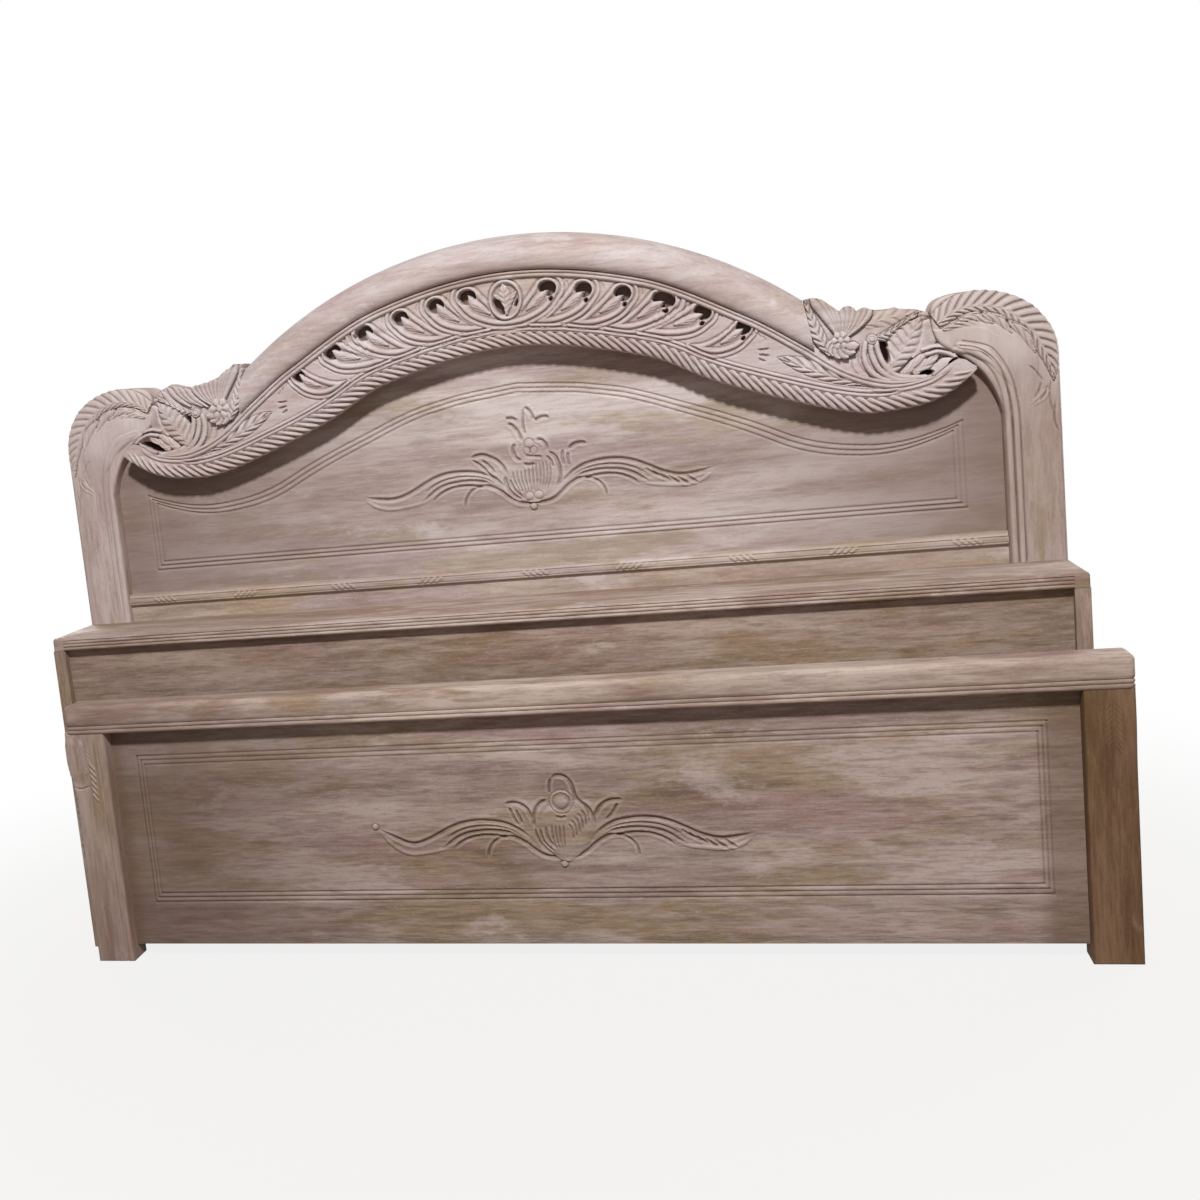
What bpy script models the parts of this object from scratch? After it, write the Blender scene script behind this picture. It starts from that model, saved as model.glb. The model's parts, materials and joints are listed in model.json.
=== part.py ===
"""Carved wooden bed ends: a head unit with its shelf box, and the footboard that stands in front of it.

Metres, +Z up, +X to the right seen from the front, +Y to the back. The two units are separate pieces
of furniture: each one hangs from its own empty, which stands on the floor under the unit.
"""

import math

import bmesh
import bpy

# Fits
FIT_GAP = 0.0003
LINE_GAP = 0.0005
HOUSING_DEPTH = 0.012
CUT_MARGIN = 0.010
WELD_DISTANCE = 0.00001

# Whole bed and how its two ends stand together
BED_WIDTH = 1.900
STANCE_SHIFT = 0.045
STANCE_GAP = 0.011

# Head posts
HEAD_POST_WIDTH = 0.095
HEAD_POST_DEPTH = 0.075
SHOULDER_WIDTH = 0.140
SHOULDER_HEIGHT = 0.122
CURL_REACH = 0.110
CURL_NOSE_DROP = 0.034
CURL_ROOT_DROP = 0.205
CURL_TOP_PULL = 0.040
CURL_NOSE_PULL = 0.045
CURL_ROOT_PULL = 0.090

# Headboard panel, rails and back board
TAIL_TIP_HEIGHT = 0.997
CURL_RISE = 0.128
TAIL_TIP_INSET = 0.049
PANEL_SETBACK = 0.025
PANEL_THICKNESS = 0.020
MIDDLE_RAIL_RISE = 0.056
MIDDLE_RAIL_HEIGHT = 0.100
MIDDLE_RAIL_SETBACK = 0.010
MIDDLE_RAIL_DEPTH = 0.050
BOTTOM_RAIL_BASE = 0.060
BOTTOM_RAIL_HEIGHT = 0.100
TENON_LENGTH = 0.035
TENON_THICKNESS = 0.018
BACK_BOARD_THICKNESS = 0.012
BATTEN_WIDTH = 0.060
BATTEN_THICKNESS = 0.024
BATTEN_SPACING = 0.500
BATTEN_HEADROOM = 0.025
LEDGE_MOULDING_HEIGHT = 0.026
LEDGE_MOULDING_DEPTH = 0.014
LEDGE_ROUNDING = 0.0045
PANEL_SHOULDER_RISE = 0.051

# Crest, with heights above the tips of its tails
GROUND_THICKNESS = 0.022
FRIEZE_THICKNESS = 0.023
ROPE_RADIUS = 0.0125
ROPE_TIP_SHARE = 0.35
CAP_FRONT_REACH = 0.063
CAP_BACK_REACH = 0.030
CAP_ROUNDING = 0.018
CAP_ROUNDING_ANGLE = math.radians(50)
CAP_END_SHARE = 0.660
CAP_END_SLANT = 0.014
ARCH_RISE = 0.330
ARCH_END_RISE = 0.146
FRIEZE_END_SHARE = 0.915
PANEL_HEADROOM = 0.030
FRIEZE_TOP_STATIONS = (
    (0.000, 0.261),
    (0.310, 0.220),
    (0.543, 0.127),
    (0.658, 0.065),
    (0.737, 0.018),
    (0.814, -0.008),
    (0.893, -0.014),
    (1.000, 0.002),
)
ROPE_LOW_STATIONS = (
    (0.000, 0.125),
    (0.310, 0.082),
    (0.465, 0.022),
    (0.620, -0.025),
    (0.737, -0.054),
    (0.819, -0.063),
    (0.881, -0.055),
    (0.943, -0.031),
    (1.000, -0.004),
)
SCROLL_COUNT = 6
SCROLL_FIRST_SHARE = 0.098
SCROLL_LAST_SHARE = 0.524
SCROLL_HOLE_DROP = 0.036
SCROLL_HOLE_LENGTH = 0.030
SCROLL_HOLE_WIDTH = 0.022
SCROLL_HOLE_LEAN = math.radians(35)

# Leaf clusters beside the arch
LEAF_FRONT_REACH = 0.043
LEAF_NEAR_RISE = 0.146
LEAF_FAR_RISE = 0.102
LEAF_LOBES = 6
LEAF_LOBE_STEPS = 4
LEAF_LOBE_HEIGHT = 0.009
LEAF_SIDE_GAP = 0.004
LEAF_TAIL_SHARE = 0.955

# Shelf box in front of the headboard
BOX_TOP_HEIGHT = 0.644
BOX_DEPTH = 0.168
BOX_TOP_THICKNESS = 0.024
BOX_TOP_OVERHANG = 0.004
BOX_CORNER_RADIUS = 0.010
BOX_BOARD = 0.025
BOX_PANEL_SETBACK = 0.014
BOX_PANEL_THICKNESS = 0.015
BOX_RAIL_BASE = 0.030
BOX_RAIL_HEIGHT = 0.078
BOX_RAIL_DEPTH = 0.036
BOX_RAIL_SETBACK = 0.006
BOX_TENON_LENGTH = 0.010
BOX_GROOVE_DEPTH = 0.006
BOX_FLOOR_THICKNESS = 0.018
BOX_CLEAT = 0.025

# Footboard
FOOT_RAIL_TOP = 0.522
FOOT_RAIL_HEIGHT = 0.057
FOOT_RAIL_DEPTH = 0.062
FOOT_RAIL_ROUNDING = 0.010
FOOT_POST_WIDTH = 0.077
FOOT_POST_SETBACK = 0.003
FOOT_POST_INSET = 0.002
FOOT_KNEE_BULGE = 0.0018
FOOT_KNEE_HEIGHT = 0.115
FOOT_TENON_WIDTH = 0.040
FOOT_TENON_HEIGHT = 0.030
FOOT_PANEL_SETBACK = 0.030
FOOT_PANEL_THICKNESS = 0.016
FOOT_LOW_RAIL_BASE = 0.028
FOOT_LOW_RAIL_HEIGHT = 0.074
FOOT_LOW_RAIL_SETBACK = 0.026
FOOT_LOW_RAIL_DEPTH = 0.026
FOOT_BATTEN_WIDTH = 0.050
FOOT_BATTEN_THICKNESS = 0.012
FOOT_BATTEN_SPACING = 0.420

# Steel fittings that take the bed's side rails
FITTING_HEIGHT = 0.260
PLATE_WIDTH = 0.016
PLATE_LENGTH = 0.140
PLATE_THICKNESS = 0.003
STUD_SPACING = 0.070
STUD_RADIUS = 0.0035
STUD_HEAD_RADIUS = 0.006
STUD_HEAD_HEIGHT = 0.002
STUD_NECK = 0.005
STUD_SHANK = 0.022
SCREW_SPACING = 0.116
SCREW_RADIUS = 0.0020
SCREW_HEAD_RADIUS = 0.0042
SCREW_LENGTH = 0.025
TURNED_STEPS = 12
CURVE_STEPS = 8
CREST_STEPS = 32

# Values that follow from the sizes above
HALF_WIDTH = BED_WIDTH / 2
TOTAL_DEPTH = HEAD_POST_DEPTH + BOX_DEPTH + STANCE_GAP + FOOT_RAIL_DEPTH
HEAD_FACE_Y = TOTAL_DEPTH / 2 - HEAD_POST_DEPTH
FOOT_FACE_Y = -TOTAL_DEPTH / 2
POST_INNER = HALF_WIDTH - HEAD_POST_WIDTH
HEAD_POST_TOP = TAIL_TIP_HEIGHT + CURL_RISE
CREST_HALF = POST_INNER - TAIL_TIP_INSET
CAP_HALF = CREST_HALF * CAP_END_SHARE
CREST_BACK = PANEL_SETBACK - FIT_GAP
GROUND_FRONT = CREST_BACK - GROUND_THICKNESS
FRIEZE_BACK = GROUND_FRONT - FIT_GAP
FRIEZE_FRONT = FRIEZE_BACK - FRIEZE_THICKNESS
PANEL_BACK = PANEL_SETBACK + PANEL_THICKNESS
MIDDLE_RAIL_TOP = BOX_TOP_HEIGHT + MIDDLE_RAIL_RISE
PANEL_BASE = MIDDLE_RAIL_TOP - HOUSING_DEPTH
MIDDLE_RAIL_BASE = MIDDLE_RAIL_TOP - MIDDLE_RAIL_HEIGHT
BOTTOM_RAIL_TOP = BOTTOM_RAIL_BASE + BOTTOM_RAIL_HEIGHT
BOX_INNER = HALF_WIDTH - BOX_BOARD
BOX_END_FRONT = -BOX_DEPTH + BOX_TOP_OVERHANG
BOX_PANEL_FRONT = BOX_END_FRONT + BOX_PANEL_SETBACK
BOX_PANEL_BACK = BOX_PANEL_FRONT + BOX_PANEL_THICKNESS
BOX_UNDER_TOP = BOX_TOP_HEIGHT - BOX_TOP_THICKNESS - FIT_GAP
BOX_RAIL_TOP = BOX_RAIL_BASE + BOX_RAIL_HEIGHT
BOX_FLOOR_BASE = BOX_RAIL_TOP + FIT_GAP
BOX_FLOOR_TOP = BOX_FLOOR_BASE + BOX_FLOOR_THICKNESS
FOOT_RAIL_BASE = FOOT_RAIL_TOP - FOOT_RAIL_HEIGHT
FOOT_POST_OUTER = HALF_WIDTH - FOOT_POST_INSET
FOOT_POST_INNER = FOOT_POST_OUTER - FOOT_POST_WIDTH
FOOT_POST_BACK = FOOT_RAIL_DEPTH - FOOT_POST_SETBACK
FOOT_PANEL_BACK = FOOT_PANEL_SETBACK + FOOT_PANEL_THICKNESS
FOOT_LOW_RAIL_TOP = FOOT_LOW_RAIL_BASE + FOOT_LOW_RAIL_HEIGHT
FOOT_PANEL_BASE = FOOT_LOW_RAIL_TOP - HOUSING_DEPTH
FOOT_PANEL_TOP = FOOT_RAIL_BASE + HOUSING_DEPTH
PLATE_X = HALF_WIDTH - BOX_BOARD / 2


def clear_scene():
    """Remove every object that the scene starts with."""
    for obj in list(bpy.data.objects):
        bpy.data.objects.remove(obj)


def add_collection(name):
    """Make a collection in the scene and return it."""
    made = bpy.data.collections.new(name)
    bpy.context.scene.collection.children.link(made)
    return made


def add_material(name, colour, roughness, metallic):
    """Make a Principled material from its colour, roughness and metallic value."""
    made = bpy.data.materials.new(name)
    made.use_nodes = True
    shader = made.node_tree.nodes["Principled BSDF"]
    shader.inputs["Base Color"].default_value = (*colour, 1.0)
    shader.inputs["Roughness"].default_value = roughness
    shader.inputs["Metallic"].default_value = metallic
    return made


def add_unit(name, x, y):
    """Make the empty that a unit's pieces hang from."""
    unit = bpy.data.objects.new(name, None)
    unit.location = (x, y, 0.0)
    PARTS.objects.link(unit)
    return unit


def place(obj, unit, material):
    """Hang an object from its unit, as a part, or as a cutter when it has no material."""
    obj.parent = unit
    if material is None:
        CUTTERS.objects.link(obj)
        obj.hide_render = True
        obj.display_type = "WIRE"
    else:
        PARTS.objects.link(obj)
        obj.data.materials.append(material)
    return obj


def board(name, unit, x, y, z, material=None, rounding=0.0):
    """Make a straight board from its (low, high) range along each axis."""
    sides = [high - low for low, high in (x, y, z)]
    mesh = bpy.data.meshes.new(name)
    form = bmesh.new()
    bmesh.ops.create_cube(form, size=1.0)
    bmesh.ops.scale(form, vec=sides, verts=form.verts)
    form.to_mesh(mesh)
    form.free()
    obj = bpy.data.objects.new(name, mesh)
    obj.location = [(low + high) / 2 for low, high in (x, y, z)]
    if rounding:
        bevel = obj.modifiers.new("rounded_edges", "BEVEL")
        bevel.width = rounding
        bevel.segments = 3
    return place(obj, unit, material)


def flat_mesh(name, loops, thickness):
    """Make a closed mesh from outlines, the first outside and the others holes through it."""
    curve = bpy.data.curves.new(name, "CURVE")
    curve.dimensions = "2D"
    curve.fill_mode = "BOTH"
    curve.extrude = thickness / 2
    for loop in loops:
        spline = curve.splines.new("POLY")
        spline.points.add(len(loop) - 1)
        for point, (across, along) in zip(spline.points, loop):
            point.co = (across, along, 0.0, 1.0)
        spline.use_cyclic_u = True
    guide = bpy.data.objects.new(name, curve)
    bpy.context.scene.collection.objects.link(guide)
    graph = bpy.context.evaluated_depsgraph_get()
    mesh = bpy.data.meshes.new_from_object(guide.evaluated_get(graph))
    bpy.data.objects.remove(guide)
    bpy.data.curves.remove(curve)
    form = bmesh.new()
    form.from_mesh(mesh)
    bmesh.ops.remove_doubles(form, verts=form.verts, dist=WELD_DISTANCE)
    bmesh.ops.recalc_face_normals(form, faces=form.faces)
    form.to_mesh(mesh)
    form.free()
    return mesh


def upright_plate(name, unit, loops, front, back, material=None):
    """Make a plate that stands in the X-Z plane from front to back."""
    obj = bpy.data.objects.new(name, flat_mesh(name, loops, back - front))
    obj.rotation_euler = (math.pi / 2, 0.0, 0.0)
    obj.location = (0.0, (front + back) / 2, 0.0)
    return place(obj, unit, material)


def level_plate(name, unit, loop, base, top, material=None):
    """Make a plate that lies in the X-Y plane from base to top."""
    obj = bpy.data.objects.new(name, flat_mesh(name, [loop], top - base))
    obj.location = (0.0, 0.0, (base + top) / 2)
    return place(obj, unit, material)


def turned(name, unit, profile, location, turn, material=None):
    """Make a turned piece about its own Z axis from (radius, height) points, top to bottom."""
    mesh = bpy.data.meshes.new(name)
    form = bmesh.new()
    points = [form.verts.new((radius, 0.0, height)) for radius, height in profile]
    for upper, lower in zip(points, points[1:]):
        form.edges.new((upper, lower))
    form.to_mesh(mesh)
    form.free()
    obj = bpy.data.objects.new(name, mesh)
    obj.location = location
    obj.rotation_euler = (turn, 0.0, 0.0)
    screw = obj.modifiers.new("turned", "SCREW")
    screw.steps = TURNED_STEPS
    screw.render_steps = TURNED_STEPS
    screw.use_merge_vertices = True
    screw.merge_threshold = WELD_DISTANCE
    screw.use_smooth_shade = True
    return place(obj, unit, material)


def cut(obj, *cutters):
    """Take each cutter out of an object."""
    for cutter in cutters:
        boolean = obj.modifiers.new("cut_" + cutter.name, "BOOLEAN")
        boolean.operation = "DIFFERENCE"
        boolean.solver = "EXACT"
        boolean.object = cutter


def bezier(start, pull_start, pull_end, end):
    """Points of a Bezier curve after its start, up to and with its end."""
    points = []
    for step in range(1, CURVE_STEPS + 1):
        t = step / CURVE_STEPS
        s = 1.0 - t
        weights = (s**3, 3 * s * s * t, 3 * s * t * t, t**3)
        corners = (start, pull_start, pull_end, end)
        points.append(tuple(sum(w * c[axis] for w, c in zip(weights, corners)) for axis in (0, 1)))
    return points


def smooth_height(stations, x):
    """Height at x of the even, smooth crest line through its (share of half span, rise) stations."""
    along = [share * CREST_HALF for share, _ in stations]
    heights = [TAIL_TIP_HEIGHT + rise for _, rise in stations]
    count = len(along)
    slopes = [0.0]
    for index in range(1, count):
        after = min(index + 1, count - 1)
        slopes.append((heights[after] - heights[index - 1]) / (along[after] - along[index - 1]))
    x = min(abs(x), along[-1])
    index = max(i for i in range(count - 1) if along[i] <= x)
    width = along[index + 1] - along[index]
    t = (x - along[index]) / width
    value = (1 + 2 * t) * (1 - t) ** 2 * heights[index] + t * t * (3 - 2 * t) * heights[index + 1]
    value += t * (1 - t) ** 2 * width * slopes[index] - t * t * (1 - t) * width * slopes[index + 1]
    return value


def faceted_height(stations, x):
    """Height at x of a crest line drawn straight between the crest's even steps."""
    step = CREST_HALF / CREST_STEPS
    index = min(int(abs(x) / step), CREST_STEPS - 1)
    share = abs(x) / step - index
    near = smooth_height(stations, index * step)
    far = smooth_height(stations, (index + 1) * step)
    return near + (far - near) * share


def frieze_top(x):
    """Height of the line between the cap and the frieze."""
    return faceted_height(FRIEZE_TOP_STATIONS, x)


def rope_low(x):
    """Height of the crest's lower edge."""
    return faceted_height(ROPE_LOW_STATIONS, x)


def crest_xs(low, high):
    """The crest's even steps between two ends, with the ends."""
    step = CREST_HALF / CREST_STEPS
    clear = step / 100
    steps = [i * step for i in range(-CREST_STEPS, CREST_STEPS + 1)]
    return [low, *(x for x in steps if low + clear < x < high - clear), high]


def rope_offset(x, distance):
    """Height of the line that keeps a distance above the crest's lower edge."""
    nudge = 0.001
    ahead = smooth_height(ROPE_LOW_STATIONS, abs(x) + nudge)
    behind = smooth_height(ROPE_LOW_STATIONS, abs(abs(x) - nudge))
    slope = (ahead - behind) / (2 * nudge)
    return rope_low(x) + distance * math.hypot(1.0, slope)


def arch_top(x):
    """Height of the arch's upper edge, a circle's arc."""
    drop = ARCH_RISE - ARCH_END_RISE
    radius = (CAP_HALF * CAP_HALF + drop * drop) / (2 * drop)
    return TAIL_TIP_HEIGHT + ARCH_RISE - radius + math.sqrt(radius * radius - x * x)


def spread(low, high, count):
    """Evenly spaced values from low to high, both ends included."""
    return [low + (high - low) * step / count for step in range(count + 1)]


def mirrored(loop):
    """The same outline on the left."""
    return [(-x, z) for x, z in reversed(loop)]


def post_outline():
    """Outline of the right head post, with its shoulder and the curl that leans inwards."""
    loop = [(POST_INNER, 0.0), (HALF_WIDTH, 0.0)]
    for angle in spread(0.0, math.pi / 2, CURVE_STEPS):
        x = HALF_WIDTH - SHOULDER_WIDTH * (1.0 - math.cos(angle))
        z = HEAD_POST_TOP - SHOULDER_HEIGHT * (1.0 - math.sin(angle))
        loop.append((x, z))
    top = loop[-1]
    nose = (POST_INNER - CURL_REACH, HEAD_POST_TOP - CURL_NOSE_DROP)
    root = (POST_INNER, HEAD_POST_TOP - CURL_ROOT_DROP)
    loop += bezier(top, (top[0] - CURL_TOP_PULL, top[1]), (nose[0], nose[1] + CURL_NOSE_DROP), nose)
    loop += bezier(nose, (nose[0], nose[1] - CURL_NOSE_PULL), (root[0], root[1] + CURL_ROOT_PULL), root)
    return loop


def panel_outline(grow):
    """Outline of the headboard panel, or of its housing when it is grown by a gap."""
    side = POST_INNER + HOUSING_DEPTH + grow
    loop = [(-side, PANEL_BASE - grow), (side, PANEL_BASE - grow)]
    corner = TAIL_TIP_HEIGHT + PANEL_SHOULDER_RISE
    rise = [(side, corner + grow)]
    for x in reversed(crest_xs(0.0, CREST_HALF)):
        rise.append((x, max(corner, frieze_top(x) + PANEL_HEADROOM) + grow))
    return loop + rise + [(-x, z) for x, z in reversed(rise[:-1])]


def cap_end(z):
    """How far out the cap's slanting end reaches at a height."""
    top = arch_top(CAP_HALF)
    low = frieze_top(CAP_HALF + CAP_END_SLANT)
    return CAP_HALF + CAP_END_SLANT * (top - z) / (top - low)


def leaf_outline():
    """Outline of the right leaf cluster, between the arch's end, the post's curl and the tail."""
    inner = cap_end(TAIL_TIP_HEIGHT + LEAF_NEAR_RISE - LEAF_LOBE_HEIGHT) + LINE_GAP
    outer = POST_INNER - CURL_REACH - LEAF_SIDE_GAP
    tail = CREST_HALF * LEAF_TAIL_SHARE
    loop = []
    for x in crest_xs(CAP_HALF + CAP_END_SLANT + LINE_GAP, tail):
        loop.append((x, frieze_top(x) + LINE_GAP))
    loop.append((outer, HEAD_POST_TOP - CURL_NOSE_DROP - CURL_NOSE_PULL))
    crown = []
    steps = LEAF_LOBES * LEAF_LOBE_STEPS
    for step in range(steps + 1):
        share = step / steps
        rise = LEAF_NEAR_RISE + (LEAF_FAR_RISE - LEAF_NEAR_RISE) * share
        lobe = LEAF_LOBE_HEIGHT * abs(math.sin(math.pi * LEAF_LOBES * share))
        crown.append((inner + (outer - inner) * share, TAIL_TIP_HEIGHT + rise - LEAF_LOBE_HEIGHT + lobe))
    return loop + crown[::-1]


def scroll_hole(x, side):
    """Outline of one pierced scroll eye, leaning towards the arch's crown."""
    centre = frieze_top(x) - SCROLL_HOLE_DROP
    loop = []
    for angle in spread(0.0, 2 * math.pi, 2 * CURVE_STEPS)[:-1]:
        along = SCROLL_HOLE_LENGTH / 2 * math.cos(angle)
        across = SCROLL_HOLE_WIDTH / 2 * math.sin(angle)
        lean = -SCROLL_HOLE_LEAN
        across_x = along * math.cos(lean) - across * math.sin(lean)
        up = along * math.sin(lean) + across * math.cos(lean)
        loop.append((side * (x + across_x), centre - up))
    return loop


def stub_tenoned(name, unit, half, tenon, front, back, base, top, material=None, grow=0.0):
    """Make a rail with a tenon of its full height at each end, or the mortise cutter for it."""
    middle = (front + back) / 2
    cheek = TENON_THICKNESS / 2 + grow
    loop = [
        (-CUT_MARGIN, front - grow),
        (half, front - grow),
        (half, middle - cheek),
        (half + tenon + grow, middle - cheek),
        (half + tenon + grow, middle + cheek),
        (half, middle + cheek),
        (half, back + grow),
        (-CUT_MARGIN, back + grow),
    ]
    rail = level_plate(name, unit, loop, base - grow, top + grow, material)
    mirror = rail.modifiers.new("both_ends", "MIRROR")
    mirror.use_bisect_axis = (True, False, False)
    mirror.merge_threshold = WELD_DISTANCE
    return rail


def build_head_frame(head):
    """Posts, rails, panel and back board of the headboard."""
    half = POST_INNER - FIT_GAP
    middle_back = MIDDLE_RAIL_SETBACK + MIDDLE_RAIL_DEPTH
    middle_range = (MIDDLE_RAIL_SETBACK, middle_back, MIDDLE_RAIL_BASE, MIDDLE_RAIL_TOP)
    bottom_range = (MIDDLE_RAIL_SETBACK, middle_back, BOTTOM_RAIL_BASE, BOTTOM_RAIL_TOP)
    middle_rail = stub_tenoned("head_middle_rail", head, half, TENON_LENGTH, *middle_range, TEAK)
    bottom_rail = stub_tenoned("head_bottom_rail", head, half, TENON_LENGTH, *bottom_range, TEAK)
    middle_mortise = stub_tenoned("middle_mortise", head, half, TENON_LENGTH, *middle_range, None, FIT_GAP)
    bottom_mortise = stub_tenoned("bottom_mortise", head, half, TENON_LENGTH, *bottom_range, None, FIT_GAP)

    upright_plate("head_panel", head, [panel_outline(0.0)], PANEL_SETBACK, PANEL_BACK, TEAK)
    panel_housing = upright_plate(
        "panel_housing", head, [panel_outline(FIT_GAP)], PANEL_SETBACK - FIT_GAP, PANEL_BACK + FIT_GAP
    )

    side = POST_INNER + HOUSING_DEPTH
    base = BOTTOM_RAIL_TOP - HOUSING_DEPTH
    top = MIDDLE_RAIL_BASE + HOUSING_DEPTH
    back = PANEL_SETBACK + BACK_BOARD_THICKNESS
    board("head_back_board", head, (-side, side), (PANEL_SETBACK, back), (base, top), TEAK)
    back_housing = board(
        "back_board_housing",
        head,
        (-side - FIT_GAP, side + FIT_GAP),
        (PANEL_SETBACK - FIT_GAP, back + FIT_GAP),
        (base - FIT_GAP, top + FIT_GAP),
    )
    cut(middle_rail, panel_housing, back_housing)
    cut(bottom_rail, back_housing)

    right = post_outline()
    for name, loop in (("head_post_left", mirrored(right)), ("head_post_right", right)):
        post = upright_plate(name, head, [loop], 0.0, HEAD_POST_DEPTH, TEAK)
        cut(post, panel_housing, back_housing, middle_mortise, bottom_mortise)

    face = MIDDLE_RAIL_SETBACK - FIT_GAP
    board(
        "head_ledge_moulding",
        head,
        (-half, half),
        (face - LEDGE_MOULDING_DEPTH, face),
        (MIDDLE_RAIL_TOP - LEDGE_MOULDING_HEIGHT, MIDDLE_RAIL_TOP),
        TEAK,
        LEDGE_ROUNDING,
    )
    battens = (("left", -BATTEN_SPACING), ("middle", 0.0), ("right", BATTEN_SPACING))
    for label, x in battens:
        edges = (x - BATTEN_WIDTH / 2, x + BATTEN_WIDTH / 2)
        head_end = min(frieze_top(edge) for edge in edges) - BATTEN_HEADROOM
        board(
            "head_batten_" + label,
            head,
            edges,
            (PANEL_BACK + FIT_GAP, PANEL_BACK + FIT_GAP + BATTEN_THICKNESS),
            (MIDDLE_RAIL_TOP + FIT_GAP, head_end),
            TEAK,
        )
    return panel_housing


def build_crest(head, panel_housing):
    """Arched cap, pierced frieze on its ground board, rope moulding and leaf clusters."""
    cap_loop = []
    for x in spread(-CAP_HALF, CAP_HALF, 2 * CREST_STEPS):
        cap_loop.append((x, arch_top(x)))
    low_end = CAP_HALF + CAP_END_SLANT
    for x in reversed(crest_xs(-low_end, low_end)):
        cap_loop.append((x, frieze_top(x) + LINE_GAP))
    cap = upright_plate(
        "crest_cap", head, [cap_loop], PANEL_SETBACK - CAP_FRONT_REACH, PANEL_SETBACK + CAP_BACK_REACH, TEAK
    )
    rounded = cap.modifiers.new("rounded_edges", "BEVEL")
    rounded.width = CAP_ROUNDING
    rounded.segments = 2
    rounded.limit_method = "ANGLE"
    rounded.angle_limit = CAP_ROUNDING_ANGLE
    cut(cap, panel_housing)

    ground = []
    for x in crest_xs(-CREST_HALF, CREST_HALF):
        ground.append((x, frieze_top(x)))
    for x in reversed(crest_xs(-CREST_HALF, CREST_HALF)):
        ground.append((x, rope_low(x)))
    upright_plate("crest_ground", head, [ground], GROUND_FRONT, CREST_BACK, TEAK)

    end = CREST_HALF * FRIEZE_END_SHARE
    frieze = []
    for x in crest_xs(-end, end):
        frieze.append((x, frieze_top(x)))
    for x in reversed(crest_xs(-end, end)):
        frieze.append((x, rope_offset(x, 2 * ROPE_RADIUS + LINE_GAP)))
    holes = []
    for share in spread(SCROLL_FIRST_SHARE, SCROLL_LAST_SHARE, SCROLL_COUNT - 1):
        for side in (-1, 1):
            holes.append(scroll_hole(share * CREST_HALF, side))
    upright_plate("crest_frieze", head, [frieze, *holes], FRIEZE_FRONT, FRIEZE_BACK, TEAK)

    curve = bpy.data.curves.new("crest_rope", "CURVE")
    curve.dimensions = "3D"
    curve.bevel_depth = ROPE_RADIUS
    curve.bevel_resolution = 1
    curve.use_fill_caps = True
    xs = crest_xs(-CREST_HALF, CREST_HALF)
    spline = curve.splines.new("POLY")
    spline.points.add(len(xs) - 1)
    for point, x in zip(spline.points, xs):
        taper = max(0.0, abs(x) - end) / (CREST_HALF - end)
        radius = 1.0 - (1.0 - ROPE_TIP_SHARE) * taper
        depth = GROUND_FRONT - FIT_GAP - ROPE_RADIUS * radius
        point.co = (x, depth, rope_offset(x, ROPE_RADIUS * radius), 1.0)
        point.radius = radius
    place(bpy.data.objects.new("crest_rope", curve), head, TEAK)

    right = leaf_outline()
    for name, loop in (("crest_leaf_left", mirrored(right)), ("crest_leaf_right", right)):
        upright_plate(name, head, [loop], PANEL_SETBACK - LEAF_FRONT_REACH, CREST_BACK, TEAK)


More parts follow.
